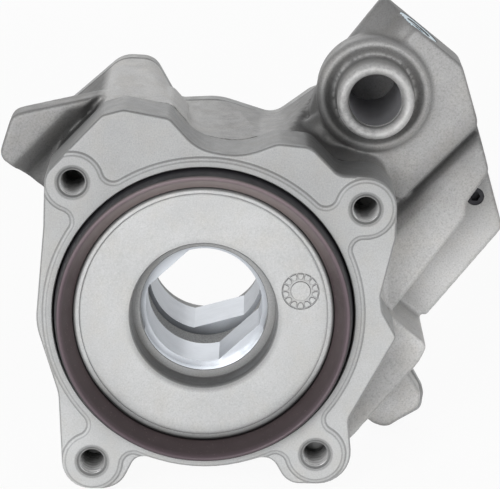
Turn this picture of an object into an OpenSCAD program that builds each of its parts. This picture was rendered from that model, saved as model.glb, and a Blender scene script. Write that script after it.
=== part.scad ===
// Crank-driven engine oil pump: a feed rotor set in front and a scavenge rotor set behind it,
// in a die-cast body between a front cover with a face seal and a rear cover.
// Origin: the crank axis on the machined mounting face. The pump looks along -Y, +Z is up.

/* [Front cover] */
// Depth of the front cover's flange, mounting face to joint
flange_t = 16; // [14:0.5:18]
// Height of the machined land above the cast face
land_h = 0.5; // [0.3:0.1:1]
// Width of the machined land round the seal groove
land_w = 1.5; // [1:0.1:2]
// Radius of the land round each tapped hole
boss_land_r = 5.9; // [5:0.1:6.2]
// Radius of the hollow fillets between the ring and those lands
land_fillet = 3; // [2:0.5:5]
// Distance of the land's edge inside the flange's outline
land_inset = 0.4; // [0.3:0.1:0.8]
// Radius of the four tapped holes
tap_r = 2.65; // [2.1:0.05:3]
// Depth of the lower left tapped hole: the two upper ones run through the flange
tap_depth_left = 14; // [13:0.5:15]
// Depth of the lower right tapped hole
tap_depth_right = 12; // [10:0.5:12.5]
// Width of the countersink at each tapped hole
tap_chamfer = 0.5; // [0.2:0.1:1]
// Width of the seal groove round the disc
groove_w = 4.4; // [4:0.1:4.6]
// Depth of the seal groove below the land
groove_depth = 4; // [3:0.5:5]
// Radius of the disc inside the seal groove
disc_r = 27.6; // [27:0.1:28]
// Depth of the disc's dished face below its rim
disc_dish = 0.6; // [0.3:0.1:1]
// Width of the disc's raised rim
disc_rim = 1.3; // [1:0.1:1.6]
// Radius of the recess round the crank opening
collar_r = 15.4; // [15:0.1:16.5]
// Rounding of the shoulder round that recess
shoulder_r = 1.15; // [0.8:0.05:1.4]
// Depth of that recess below the land
collar_depth = 5.8; // [5:0.1:6.2]
// Radius of the crank opening in the front cover
crank_hole_r = 13.6; // [13.2:0.1:14.5]
// Length of the crank opening's straight wall
crank_land = 2.8; // [2:0.1:3.2]

/* [Rotors] */
// Radius of the crank bore in the inner rotors
crank_r = 12.5; // [12:0.1:13]
// Distance across the two drive flats
crank_flats = 22.2; // [21:0.1:23]
// Turn of the front rotor's flats at rest
feed_flat_turn = 42; // [0:1:179]
// Turn of the rear rotor's flats at rest
scavenge_flat_turn = 15; // [0:1:179]
// Number of teeth on an inner rotor
teeth = 8; // [8:1:9]
// Distance between the inner and the outer rotor's axes
rotor_offset = 1.6; // [1.4:0.1:1.8]
// Radius of the circle through the outer rotor's lobe centres
lobe_pitch_r = 22; // [21.5:0.1:22.5]
// Radius of the outer rotor's lobes
lobe_r = 4.6; // [4.3:0.1:5]
// Wall of the outer rotor behind its root circle
outer_wall = 3.3; // [3:0.1:3.5]
// Width of the feed rotors
feed_w = 13.7; // [12:0.1:14]
// Width of the scavenge rotors
scavenge_w = 16.8; // [14:0.1:18]

/* [Body] */
// Wall between the feed pocket and the separator plate
web_t = 9; // [8:0.5:11]
// Thickness of the separator plate
plate_t = 2.8; // [2:0.1:4]
// Radius of the crank passage through the web
web_hole_r = 14.1; // [13.8:0.1:14.6]
// Width of the valley between the angled block and the bulge beside it
valley_w = 5; // [3:0.5:7]
// Depth of that valley below the bulge's face
valley_depth = 3; // [1:0.5:4]
// Wall of the pilot that centres the front cover, outside the rotor pocket
pilot_wall = 2.7; // [2.6:0.1:3]
// Thickness of the rear cover
rear_cover_t = 4.6; // [3.5:0.1:6]
// Radius of the crank passage in the rear cover
rear_hole_r = 13; // [12.8:0.1:13.8]

/* [Outlet] */
// Outer radius of the outlet snout
snout_r = 8.2; // [7.8:0.1:8.6]
// Radius of the outlet passage
snout_bore_r = 5.6; // [5:0.1:6]
// Depth of the snout's tip below the mounting face
snout_tip = 12; // [10:0.5:14]
// Depth of the boss face round the snout
boss_face = 20; // [19:0.5:21]
// Radius of the boss round the snout
snout_boss_r = 12.2; // [11.8:0.1:12.6]
// Outer radius of the ring recess round the snout
ring_recess_r = 10.9; // [10.5:0.1:11.4]
// Depth of the ring recess below the boss face
ring_recess_depth = 2; // [1:0.5:3]
// Depth to which the outlet passage is drilled
outlet_end = 42; // [36:1:46]
// Wall round the outlet passage behind the boss
outlet_wall = 3; // [2.5:0.5:4]

/* [Relief valve] */
// Angle of the relief bore above the horizontal
relief_angle = 50.6; // [48:0.1:53]
// Distance from the snout's axis to the angled face
relief_reach = 16.7; // [16.5:0.1:18]
// Width of the angled face
relief_face_w = 21.5; // [20:0.5:22.5]
// Half-width of the flat part of the face in front of the relief bore
peak_flat = 2; // [1.5:0.5:3]
// Sideways step of the relief bore from the snout's axis
relief_shift = 1.1; // [0:0.1:1.5]
// Radius of the relief bore
relief_r = 2.6; // [2.5:0.05:2.7]
// Radius of the seat opening into the outlet passage
relief_seat_r = 1.8; // [1.4:0.1:2]
// Wall between the outlet passage and the relief bore
relief_seat_t = 1.2; // [1:0.1:1.4]
// Length of the plunger
plunger_l = 4.4; // [4:0.1:4.5]
// Wall of the hollow plunger
plunger_wall = 0.5; // [0.4:0.05:0.6]
// Radius of the spill hole in the relief bore
spill_r = 0.9; // [0.6:0.1:1]
// Wire diameter of the relief spring
spring_wire = 0.5; // [0.4:0.05:0.6]
// Turns of the relief spring
spring_turns = 4; // [3:1:5]
// Radius of the threaded plug
plug_r = 3.15; // [3.1:0.05:3.4]
// Length of the threaded plug
plug_l = 2.6; // [2.4:0.1:2.7]
// Thickness of the sealing ring under the plug
plug_seal_t = 0.6; // [0.4:0.1:0.7]
// Radius of the spot face round the plug
spot_r = 5.1; // [4.5:0.1:5.5]
// Depth of the spot face
spot_depth = 0.3; // [0.2:0.1:0.5]
// Radius of the small plug on the stepped plane
passage_plug_r = 2; // [1.6:0.1:2.2]
// Length of that plug
passage_plug_l = 4; // [3:0.5:5]

/* [Fasteners] */
// Radius of the assembly and cover screws' shanks
screw_r = 2.5; // [2:0.1:2.6]
// Radius of the screws' heads
screw_head_r = 4.25; // [4:0.05:4.5]
// Height of the screws' heads
screw_head_h = 5; // [4:0.5:6]
// Reach of the assembly screws into the front cover
screw_grip = 9; // [7:0.5:10]
// Reach of the cover screws into the body
cover_screw_grip = 5; // [4:0.5:5.5]
// Radius of the dowel pins
dowel_r = 2; // [1.5:0.1:2.2]
// Length of each dowel pin
dowel_l = 10; // [8:0.5:12]
// Distance across the flats of the screws' sockets
screw_socket = 4; // [3:0.5:4.5]

/* [Seals] */
// Height of the face seal's crest above the mounting face
seal_proud = 4.2; // [3:0.1:4.5]
// Thickness of the O-rings in the joints
o_ring_r = 0.75; // [0.6:0.05:0.9]

/* [Clearances] */
// Running clearance between a rotor and the wall beside or round it
run_gap = 0.05; // [0.03:0.01:0.08]
// Clearance of a tooth tip from its lobe
mesh_gap = 0.08; // [0.05:0.01:0.1]
// Radial clearance of a screw in its hole, and of a pilot in its recess
fit_gap = 0.15; // [0.1:0.05:0.25]
// Radial clearance of a thread or a dowel in its hole
thread_gap = 0.04; // [0.02:0.01:0.06]
// Gap between a soft seal and the wall that it sits against
seal_gap = 0.1; // [0.05:0.05:0.2]

/* [Hidden] */

cast_colour = [0.76, 0.76, 0.74];
steel_colour = [0.80, 0.83, 0.88];
screw_colour = [0.30, 0.31, 0.33];
seal_colour = [0.32, 0.26, 0.26];

// Depths below the mounting face
feed_front = collar_depth + crank_land;
feed_floor = feed_front + feed_w + 2 * run_gap;
plate_front = feed_floor + web_t;
scavenge_front = plate_front + plate_t;
body_rear = scavenge_front + scavenge_w + 2 * run_gap;
pump_rear = body_rear + rear_cover_t;
shelf = boss_face + 1.5;
angled_rear = boss_face + 15;
bulge_face = boss_face + 2.3;
step_face = boss_face + 18;
corner_face = flange_t + 2;
lug_front = flange_t + 2;
lug_rear = lug_front + 8;
foot_front = body_rear - 7.3;
relief_depth = (boss_face + angled_rear) / 2;

// Rings round the crank on the mounting face
groove_r = disc_r + groove_w;
land_r = groove_r + land_w;

// Rotor sizes that follow from the lobes
root_r = lobe_pitch_r + 2 * rotor_offset - lobe_r + 2 * mesh_gap;
outer_r = root_r + outer_wall;
pocket_r = outer_r + run_gap;
pilot_r = pocket_r + rotor_offset + pilot_wall;
port_in_r = lobe_pitch_r - rotor_offset - lobe_r + 1;
port_out_r = root_r - 1;
port_depth = 5.8;
rear_port_depth = 1.5;
feed_passage_r = 2;

// Places on the mounting face: right, up
tap_places = [[34.1, 23.0], [-27.3, 28.8], [-24.0, -32.4], [23.8, -30.8]];
snout_place = [36.5, 43.4];
screw_places = [[-15.3, 38.4], [24.0, 25.5], [33.6, -6.6], [-25.0, -22.6]];
cover_screw_places = [[42.6, -32.4], [-29.6, 6.0]];
front_dowel_places = [[-19.5, 29.0], [28.2, -17.0]];
rear_dowel_places = [[-27.0, 22.0], [38.5, -16.5]];
plug_place = [59.9, 17.0];

// Outlines: each corner is right, up and the radius of its rounding, clockwise from the top left
flange_corners = [
    [-33.2, 30.5, 5], [-21.0, 43.0, 2.5], [-16.5, 44.2, 4], [-6.9, 42.3, 3], [-1.2, 35.8, 10],
    [8.0, 34.0, 15], [15.6, 36.9, 4], [22.6, 36.1, 4], [28.4, 30.0, 4], [40.8, 29.6, 6.6],
    [40.5, 16.5, 4], [37.4, 4.0, 3], [37.8, 0.6, 3], [40.9, -5.0, 1.4], [30.8, -23.2, 3],
    [32.0, -37.6, 7], [17.8, -37.6, 4.5], [14.2, -31.0, 3.5], [0, -35.2, 34], [-14.4, -30.8, 3],
    [-18.4, -38.6, 5.5], [-30.3, -38.6, 6.1], [-31.0, -17.5, 10], [-35.6, -2.0, 14], [-33.6, 19, 20],
];
body_front_corners = [
    [-33.2, 30.5, 5], [-21.0, 43.0, 2.5], [-7.0, 42.6, 3], [-1.2, 35.8, 10], [8.0, 34.0, 15],
    [15.6, 36.9, 4], [28.4, 30.0, 4], [38.6, 27.0, 5], [37.4, 4.0, 3], [38.8, -5.5, 2.5],
    [29.5, -24.4, 3], [14.2, -31.0, 3.5], [0, -35.0, 34], [-14.4, -30.6, 3], [-28.6, -31.0, 5],
    [-31.0, -17.5, 10], [-33.6, 19, 20],
];
body_rear_corners = [
    [-33.5, 33.6, 5], [-18.8, 46.2, 6], [-11.6, 45.8, 4.5], [-6.4, 36.2, 3], [3.0, 36.6, 14],
    [15.2, 32.6, 5], [27.0, 41.0, 4], [44.0, 40.0, 5], [44.0, 4.0, 3], [43.0, -10.0, 3],
    [29.5, -26.4, 3], [14.2, -32.0, 3.5], [0, -35.0, 34], [-15.4, -31.0, 3], [-27.6, -33.5, 6],
    [-34.5, -17.5, 10], [-34.6, 19, 20],
];
function relief_corner(side, r) = [
    snout_place.x + relief_reach * cos(relief_angle) - side * relief_face_w / 2 * sin(relief_angle),
    snout_place.y + relief_reach * sin(relief_angle) + side * relief_face_w / 2 * cos(relief_angle),
    r];
peak_corners = [
    [22.5, 38.0, 2], [25.6, 46.6, 2], relief_corner(1, 1.5), relief_corner(-1, 3),
    [59.2, 36.4, 2], [44.8, 22.0, 2], [41.5, 18.0, 2], [38.0, 28.0, 4], [27.0, 31.0, 3],
];
bulge_corners = [
    [40.0, 30.0, 2], [58.2, 39.1, 2], [61.7, 26.0, 1.5], [57.0, 19.2, 1], [56.8, 15.9, 2],
    [42.1, -3.7, 1], [41.0, -5.5, 1], [36.0, 2.0, 1.5],
];
step_corners = [
    [44.0, 40.0, 2], [58.6, 37.6, 2], [66.2, 9.8, 2.2], [49.4, -10.6, 0.8], [34.0, -5.0, 2],
];
corner_corners = [
    [39.2, -3.8, 1.2], [48.8, -11.6, 2.2], [46.8, -15.6, 3], [31.6, -33.6, 0.5], [26.0, -27.0, 2],
];
foot_corners = [
    [36.0, -16.0, 2], [45.2, -24.6, 1], [48.9, -30.6, 2], [48.5, -33.8, 2.2], [41.0, -39.0, 3],
    [37.6, -37.6, 2], [28.0, -28.0, 2],
];
lug_corners = [
    [-41.2, 39.6, 3], [-20.0, 44.2, 2], [-20.0, 24.0, 2], [-34.0, 22.2, 2], [-44.2, 30.4, 2.5],
];
rear_cover_corners = [
    [-33.5, 33.6, 5], [-18.8, 46.2, 6], [-11.6, 45.8, 4.5], [-6.4, 36.2, 3], [3.0, 36.6, 14],
    [15.2, 32.6, 5], [25.0, 39.6, 6], [40.0, 36.0, 6], [44.0, 4.0, 5], [43.6, -12.0, 3],
    [47.0, -26.6, 2.5], [49.9, -32.0, 3], [49.3, -36.2, 2.5], [41.0, -40.9, 3.5], [30.5, -30.6, 5],
    [14.2, -32.0, 4], [0, -35.0, 34], [-15.4, -31.0, 3], [-27.6, -33.5, 6],
    [-34.5, -17.5, 10], [-34.6, 19, 20],
];

// The pump is drawn flat, with the mounting face up at height 0, and then stood on its edge
module upright() rotate([90, 0, 0]) children();

// A prism of the flat shape between two depths below the mounting face
module between(front, rear) translate([0, 0, -rear]) linear_extrude(rear - front) children();

module drill(place, r, front, rear, faces = 48) translate([place.x, place.y, -rear])
    cylinder(r = r, h = rear - front, $fn = faces);

// A cone that widens towards the front, for a countersink
module countersink(place, r_front, r_rear, front, depth) translate([place.x, place.y, -front - depth])
    cylinder(r1 = r_rear, r2 = r_front, h = depth, $fn = 48);

// One rounded corner as an arc of points, moved inwards by inset
function unit(v) = v / norm(v);
function corner_arc(before, at, after, inset, steps) =
    let (a = unit([before.x - at.x, before.y - at.y]), b = unit([after.x - at.x, after.y - at.y]))
    let (half = acos(a * b) / 2, turn = sign(a.x * b.y - a.y * b.x))
    let (centre = [at.x, at.y] + unit(a + b) * at.z / sin(half))
    let (first = [at.x, at.y] + a * at.z / tan(half) - centre)
    let (start = atan2(first.y, first.x), sweep = (180 - 2 * half) * (turn > 0 ? -1 : 1))
    [for (k = [0:steps]) centre + (at.z - inset * (turn > 0 ? 1 : -1))
        * [cos(start + sweep * k / steps), sin(start + sweep * k / steps)]];

function outline(corners, inset = 0, steps = 4) =
    let (n = len(corners))
    [for (i = [0:n - 1])
        each corner_arc(corners[(i + n - 1) % n], corners[i], corners[(i + 1) % n], inset, steps)];

// A solid through several outlines with the same number of points, given as [depth, points]
module loft(rings) {
    n = len(rings[0][1]);
    last = len(rings) - 1;
    polyhedron(
        points = [for (ring = rings, p = ring[1]) [p.x, p.y, -ring[0]]],
        faces = concat(
            [[for (i = [0:n - 1]) i]],
            [for (j = [0:last - 1], i = [0:n - 1]) each [
                [j * n + i, (j + 1) * n + i, (j + 1) * n + (i + 1) % n],
                [j * n + i, (j + 1) * n + (i + 1) % n, j * n + (i + 1) % n]]],
            [[for (i = [n - 1:-1:0]) last * n + i]]
        ));
}

// A cast block with straight walls between two depths
module block(corners, front, rear) between(front, rear) polygon(outline(corners));

// Holes for dowels that stand half in each of two pieces that meet at a depth
module dowel_holes(places, joint) for (place = places)
    drill(place, dowel_r + thread_gap, joint - dowel_l / 2 - 0.5, joint + dowel_l / 2 + 0.5);

module dowels(places, joint) for (place = places)
    drill(place, dowel_r, joint - dowel_l / 2, joint + dowel_l / 2);

// A socket screw from behind, from the tip's depth to its head on the rear cover
module screw(place, tip) difference() {
    union() {
        drill(place, screw_r, tip, pump_rear + 0.1);
        drill(place, screw_head_r, pump_rear, pump_rear + screw_head_h);
    }
    between(pump_rear + screw_head_h / 2, pump_rear + screw_head_h + 1) translate(place)
        circle(r = screw_socket / sqrt(3), $fn = 6);
}

tap_depths = [flange_t + 1, flange_t + 1, tap_depth_left, tap_depth_right];
module tapped_holes() for (i = [0:len(tap_places) - 1]) {
    place = tap_places[i];
    drill(place, tap_r, -1, tap_depths[i]);
    countersink(place, tap_r + 2 * tap_chamfer, tap_r, -tap_chamfer, 2 * tap_chamfer);
}

// The land's outline: a ring, with a boss at each tapped hole and hollow fillets between them
function arc(centre, r, from, sweep, steps) =
    [for (k = [0:steps]) centre + r * [cos(from + sweep * k / steps), sin(from + sweep * k / steps)]];
function side_angle(a, b, opposite) = acos((a * a + b * b - opposite * opposite) / (2 * a * b));
function bearing(place) = (atan2(place.y, place.x) + 360) % 360;
land_out = land_r + land_fillet;
boss_out = boss_land_r + land_fillet;
function half_turn(place) = side_angle(norm(place), land_out, boss_out);
land_outline = [for (i = [0:len(tap_places) - 1])
    let (place = tap_places[i], next = tap_places[(i + 1) % len(tap_places)])
    let (t = bearing(place), half = half_turn(place), way = norm(place))
    let (bend = side_angle(land_out, boss_out, way), boss = side_angle(way, boss_out, land_out))
    let (gap = (bearing(next) - t + 360) % 360 - half - half_turn(next))
    each concat(
        arc(land_out * [cos(t - half), sin(t - half)], land_fillet, t - half + 180, -bend, 8),
        arc(place, boss_land_r, t + 180 + boss, 360 - 2 * boss, 20),
        arc(land_out * [cos(t + half), sin(t + half)], land_fillet, t + half + 180 + bend, -bend, 8),
        arc([0, 0], land_r, t + half + gap / 16, gap * 14 / 16, 14)
    )];

module land() between(0, land_h + 0.1) intersection() {
    polygon(land_outline);
    polygon(outline(flange_corners, land_inset, 6));
}

// Section of the hollow on the axis: dished disc, rounded shoulder, stepped opening for the
// crank, and the recess for the body's pilot behind it
opening_profile = concat(
    [[0, 1], [disc_r - disc_rim, 1], [disc_r - disc_rim, -disc_dish]],
    [for (a = [0:15:90]) [
        collar_r + shoulder_r * (1 - sin(a)), -disc_dish - shoulder_r * (1 - cos(a))]],
    [[collar_r, -collar_depth], [crank_hole_r, -collar_depth], [crank_hole_r, -feed_front],
        [pilot_r + fit_gap, -feed_front], [pilot_r + fit_gap, -flange_t - 1], [0, -flange_t - 1]]
);

module front_cover() color(cast_colour) upright() difference() {
    union() {
        between(land_h, flange_t) polygon(outline(flange_corners, 0, 6));
        land();
    }
    tapped_holes();
    rotate_extrude($fn = 128) translate([disc_r, -groove_depth])
        square([groove_r - disc_r, groove_depth + 1]);
    rotate_extrude($fn = 128) polygon(opening_profile);
    for (place = screw_places)
        drill(place, screw_r + thread_gap, flange_t - screw_grip - 1, flange_t + 1);
    dowel_holes(front_dowel_places, flange_t);
}

// Section of the face seal: a foot in the groove, a cone up to the crest, and a steep back
module face_seal() color(seal_colour) upright() rotate_extrude($fn = 128) polygon([
    [disc_r + seal_gap, -groove_depth], [groove_r - seal_gap, -groove_depth],
    [groove_r - seal_gap, -0.4], [groove_r - 1.0, seal_proud],
    [groove_r - 2.0, seal_proud], [disc_r + seal_gap, 0.2],
]);

// Gerotor profiles: the inner rotor is the curve that the lobes' centres trace, moved inwards
lobes = teeth + 1;
function track(t) = lobe_pitch_r * [cos(t), sin(t)] + rotor_offset * [cos(lobes * t), sin(lobes * t)];
function track_way(t) = unit(lobe_pitch_r * [-sin(t), cos(t)]
    + rotor_offset * lobes * [-sin(lobes * t), cos(lobes * t)]);
function inner_point(t) = track(t) - (lobe_r + mesh_gap) * [track_way(t).y, -track_way(t).x];

// Steps along the profile are closer together in its hollows, where it turns the fastest
tooth_steps = 20;
function crowd(t) = t + 0.8 * sin(teeth * t) / teeth * 180 / PI;

module inner_rotor(w, flat_turn) difference() {
    linear_extrude(w) polygon([for (k = [0:teeth * tooth_steps - 1])
        inner_point(crowd(k * 360 / (teeth * tooth_steps)))]);
    rotate(flat_turn) intersection() {
        translate([0, 0, -1]) cylinder(r = crank_r, h = w + 2, $fn = 96);
        translate([-crank_r, -crank_flats / 2, -1]) cube([2 * crank_r, crank_flats, w + 2]);
    }
}

module outer_rotor(w) difference() {
    cylinder(r = outer_r, h = w, $fn = 128);
    difference() {
        translate([0, 0, -1]) cylinder(r = root_r, h = w + 2, $fn = 128);
        for (k = [0:lobes - 1]) rotate(k * 360 / lobes) translate([lobe_pitch_r, 0, -2])
            cylinder(r = lobe_r, h = w + 4, $fn = 64);
    }
}

module feed_inner_rotor() color(steel_colour) upright()
    translate([0, 0, -feed_floor + run_gap]) inner_rotor(feed_w, feed_flat_turn);

module feed_outer_rotor() color(steel_colour) upright()
    translate([rotor_offset, 0, -feed_floor + run_gap]) outer_rotor(feed_w);

module scavenge_inner_rotor() color(steel_colour) upright()
    translate([0, 0, -body_rear + run_gap]) inner_rotor(scavenge_w, scavenge_flat_turn);

module scavenge_outer_rotor() color(steel_colour) upright()
    translate([rotor_offset, 0, -body_rear + run_gap]) outer_rotor(scavenge_w);

// Two kidney ports, above and below the line of the rotors' axes
module ports(front, rear) for (side = [0, 180]) translate([0, 0, -rear]) rotate(side + 20)
    rotate_extrude(angle = 140, $fn = 96) translate([port_in_r, 0])
        square([port_out_r - port_in_r, rear - front]);

module snout_profile() rotate_extrude($fn = 96) polygon([
    [0, -boss_face - ring_recess_depth - 1], [snout_r, -boss_face - ring_recess_depth - 1],
    [snout_r, -snout_tip - 0.8], [snout_r - 0.25, -snout_tip - 0.2], [snout_r - 0.8, -snout_tip],
    [0, -snout_tip],
]);

// The relief bore's axis, square to the angled face: lengths are from the snout's axis
module along_relief() translate([snout_place.x, snout_place.y, -relief_depth])
    rotate(relief_angle) translate([0, relief_shift, 0]) rotate([0, 90, 0]) children();

seat = snout_bore_r + relief_seat_t;
plug_outer = relief_reach - spot_depth - 0.1;
plug_inner = plug_outer - plug_l;
shoulder = plug_inner - plug_seal_t;
plunger_r = relief_r - run_gap;
spill = seat + 2;
spring_r = plunger_r - plunger_wall - 0.15 - spring_wire / 2;
spring_start = seat + 1.1;
spring_end = plug_inner - 0.1;

module relief_cuts() {
    along_relief() {
        cylinder(r = relief_seat_r, h = seat + 1, $fn = 48);
        translate([0, 0, seat]) cylinder(r = relief_r, h = relief_reach, $fn = 64);
        translate([0, 0, shoulder]) cylinder(r = plug_r + thread_gap, h = relief_reach, $fn = 64);
        translate([0, 0, plug_outer + 0.1]) cylinder(r = spot_r, h = 6, $fn = 64);
    }
    // Spill hole, from the bore to the open space behind the angled face
    translate([snout_place.x, snout_place.y, 0]) rotate(relief_angle)
        drill([spill, relief_shift], spill_r, relief_depth, angled_rear + 1, 32);
}

// Passage from the upper port to the outlet
feed_passage_depth = feed_floor + port_depth - feed_passage_r - 0.2;
port_mouth = (port_in_r + port_out_r) / 2 * [cos(80), sin(80)];
module feed_passage(r) {
    way = snout_place - port_mouth;
    translate([port_mouth.x, port_mouth.y, -feed_passage_depth]) rotate(atan2(way.y, way.x))
        rotate([0, 90, 0]) cylinder(r = r, h = norm(way), $fn = 48);
}

// Annular groove with its axis on the rotors' bore
module ring_groove(centre, r_in, r_out, front, rear) difference() {
    drill(centre, r_out, front, rear, 128);
    drill(centre, r_in, front - 1, rear + 1, 128);
}

o_ring_space = o_ring_r + seal_gap;
pilot_groove_r = pilot_r + fit_gap - 2 * o_ring_space;
pilot_groove_depth = feed_front + 2.4;
cover_groove_r = pocket_r + 2.2;

// The middle of the casting widens from the front joint to the rear one, both faced flat
module body_core() intersection() {
    loft([[flange_t - 1, outline(body_front_corners)], [body_rear + 1, outline(body_rear_corners)]]);
    between(flange_t, body_rear) square(300, center = true);
}

// A straight cut along a line on the face: its section is a list of [distance to the right of
// the line, depth], and it runs from behind the line's start to beyond its end
module cut_along(start, end, section, spare = 20) translate([start.x, start.y, 0])
    rotate(atan2(end.y - start.y, end.x - start.x)) translate([-spare, 0, 0])
        rotate([90, 0, 90]) linear_extrude(norm(end - start) + 2 * spare)
            polygon([for (p = section) [-p.x, -p.y]]);

// The angled block falls away from the boss towards its far corner
module peak() difference() {
    run = relief_face_w / 2 - peak_flat;
    fall = (angled_rear - shelf - 3) / run;
    block(peak_corners, shelf, angled_rear);
    cut_along(snout_place, snout_place + relief_reach * [cos(relief_angle), sin(relief_angle)],
        [for (x = [-1, run + 2]) [-peak_flat - x, shelf + fall * x], [-peak_flat - run - 2, shelf - fall]]);
}

// The bulge rises from a valley along the edge of the angled block
module bulge() difference() {
    block(bulge_corners, bulge_face, body_rear - 3);
    cut_along([44.8, 22.0], [59.2, 36.4], [
        [-2, bulge_face - valley_depth / 3], [-2, bulge_face + valley_depth],
        [valley_w / 8, bulge_face + valley_depth], [valley_w / 2, bulge_face + valley_depth / 3],
        [valley_w * 1.5, bulge_face - valley_depth / 3]]);
}

// The lug's face, with a groove where it meets the flange
module lug() difference() {
    block(lug_corners, lug_front, lug_rear);
    cut_along([-33.6, 31.8], [-20.8, 44.1], [
        [-2, lug_front - 1.6], [-0.4, lug_front + 1.6], [1, lug_front + 1.6], [1, lug_front - 1.6]], 3);
}

module pump_body() color(cast_colour) upright() difference() {
    union() {
        body_core();
        drill([0, 0], pilot_r, feed_front, flange_t + 1, 128);
        peak();
        bulge();
        block(step_corners, step_face, body_rear);
        block(corner_corners, corner_face, body_rear);
        block(foot_corners, foot_front, body_rear);
        lug();
        drill(snout_place, snout_boss_r, boss_face, angled_rear - 5, 96);
        drill(snout_place, snout_bore_r + outlet_wall, boss_face + 1, outlet_end + outlet_wall, 96);
        feed_passage(feed_passage_r + outlet_wall / 2);
        translate(snout_place) snout_profile();
    }
    // Rotor pockets, crank passage, ports and the seat of the separator plate
    drill([rotor_offset, 0], pocket_r, feed_front - 1, feed_floor, 128);
    drill([rotor_offset, 0], pocket_r, plate_front, body_rear + 1, 128);
    drill([0, 0], web_hole_r, feed_front, body_rear, 96);
    ports(feed_floor - 1, feed_floor + port_depth);
    ports(plate_front - rear_port_depth, plate_front + 1);
    feed_passage(feed_passage_r);
    // Ring recess round the snout, then the outlet passage with its lip
    difference() {
        drill(snout_place, ring_recess_r, boss_face - 5, boss_face + ring_recess_depth, 96);
        translate(snout_place) snout_profile();
    }
    drill(snout_place, snout_bore_r, snout_tip - 20, outlet_end, 96);
    relief_cuts();
    drill(plug_place, passage_plug_r + thread_gap, step_face - 1, step_face + passage_plug_l + 0.8);
    // Grooves for the two O-rings
    ring_groove([0, 0], pilot_groove_r, pilot_r + 1,
        pilot_groove_depth - o_ring_space, pilot_groove_depth + o_ring_space);
    ring_groove([rotor_offset, 0], cover_groove_r - o_ring_space, cover_groove_r + o_ring_space,
        body_rear - 2 * o_ring_space, body_rear + 1);
    // Screws and dowels
    for (place = screw_places) drill(place, screw_r + fit_gap, flange_t - 1, body_rear + 1);
    for (place = cover_screw_places)
        drill(place, screw_r + thread_gap, body_rear - cover_screw_grip - 1, body_rear + 1);
    dowel_holes(front_dowel_places, flange_t);
    dowel_holes(rear_dowel_places, body_rear);
}

module pilot_seal() color(seal_colour) upright() rotate_extrude($fn = 96)
    translate([pilot_groove_r + o_ring_space, -pilot_groove_depth]) circle(o_ring_r, $fn = 24);

module cover_seal() color(seal_colour) upright() translate([rotor_offset, 0, 0])
    rotate_extrude($fn = 96) translate([cover_groove_r, -body_rear + o_ring_space])
        circle(o_ring_r, $fn = 24);

module separator_plate() color(steel_colour) upright() difference() {
    drill([rotor_offset, 0], pocket_r - run_gap, plate_front, scavenge_front, 128);
    drill([0, 0], web_hole_r, plate_front - 1, scavenge_front + 1, 96);
    ports(plate_front - 1, scavenge_front + 1);
}

module rear_cover() color(cast_colour) upright() difference() {
    block(rear_cover_corners, body_rear, pump_rear);
    drill([0, 0], rear_hole_r, body_rear - 1, pump_rear + 1, 96);
    for (place = concat(screw_places, cover_screw_places))
        drill(place, screw_r + fit_gap, body_rear - 1, pump_rear + 1);
    dowel_holes(rear_dowel_places, body_rear);
}

// A hollow plunger that seats over the opening into the outlet passage
module relief_plunger() color(steel_colour) upright() along_relief() difference() {
    translate([0, 0, seat]) cylinder(r = plunger_r, h = plunger_l, $fn = 64);
    translate([0, 0, seat + 1]) cylinder(r = plunger_r - plunger_wall, h = plunger_l, $fn = 48);
}

module relief_spring() color(steel_colour) upright() along_relief() {
    steps = spring_turns * 16;
    sides = 6;
    rise = spring_end - spring_start - spring_wire;
    polyhedron(
        points = [for (k = [0:steps], j = [0:sides - 1])
            let (t = k * 360 / 16, u = max(0, min(1, (k / steps - 0.12) / 0.76)))
            let (r = spring_r + spring_wire / 2 * cos(j * 360 / sides))
            [r * cos(t), r * sin(t), spring_start + spring_wire / 2 + rise * u
                + spring_wire / 2 * sin(j * 360 / sides)]],
        faces = concat(
            [[for (j = [0:sides - 1]) j]],
            [for (k = [0:steps - 1], j = [0:sides - 1]) [k * sides + j, (k + 1) * sides + j,
                (k + 1) * sides + (j + 1) % sides, k * sides + (j + 1) % sides]],
            [[for (j = [sides - 1:-1:0]) steps * sides + j]]
        ));
}

module relief_plug() color(steel_colour) upright() along_relief() difference() {
    translate([0, 0, plug_inner]) cylinder(r = plug_r, h = plug_l, $fn = 64);
    translate([0, 0, plug_outer - plug_l / 2]) cylinder(r = plug_r * 0.55, h = plug_l, $fn = 6);
}

module plug_seal() color([0.72, 0.45, 0.2]) upright() along_relief() difference() {
    translate([0, 0, shoulder]) cylinder(r = plug_r - thread_gap, h = plug_seal_t, $fn = 64);
    translate([0, 0, shoulder - 1]) cylinder(r = relief_r + thread_gap, h = 3, $fn = 64);
}

module passage_plug() color(screw_colour) upright() difference() {
    drill(plug_place, passage_plug_r, step_face + 0.3, step_face + 0.3 + passage_plug_l);
    between(step_face - 1, step_face + 0.3 + passage_plug_l / 2) translate(plug_place)
        circle(passage_plug_r * 0.6, $fn = 6);
}

module front_dowels() color(steel_colour) upright() dowels(front_dowel_places, flange_t);
module rear_dowels() color(steel_colour) upright() dowels(rear_dowel_places, body_rear);

module assembly_screws() color(screw_colour) upright()
    for (place = screw_places) screw(place, flange_t - screw_grip);
module cover_screws() color(screw_colour) upright()
    for (place = cover_screw_places) screw(place, body_rear - cover_screw_grip);

front_cover();
face_seal();
pump_body();
separator_plate();
rear_cover();
feed_inner_rotor();
feed_outer_rotor();
scavenge_inner_rotor();
scavenge_outer_rotor();
relief_plunger();
relief_spring();
relief_plug();
plug_seal();
passage_plug();
pilot_seal();
cover_seal();
front_dowels();
rear_dowels();
assembly_screws();
cover_screws();
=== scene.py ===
"""Finishes and cast forms of a crank-driven oil pump, dressed over its machined model."""
import math

import bmesh
import bpy
from mathutils import Matrix, Vector


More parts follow.
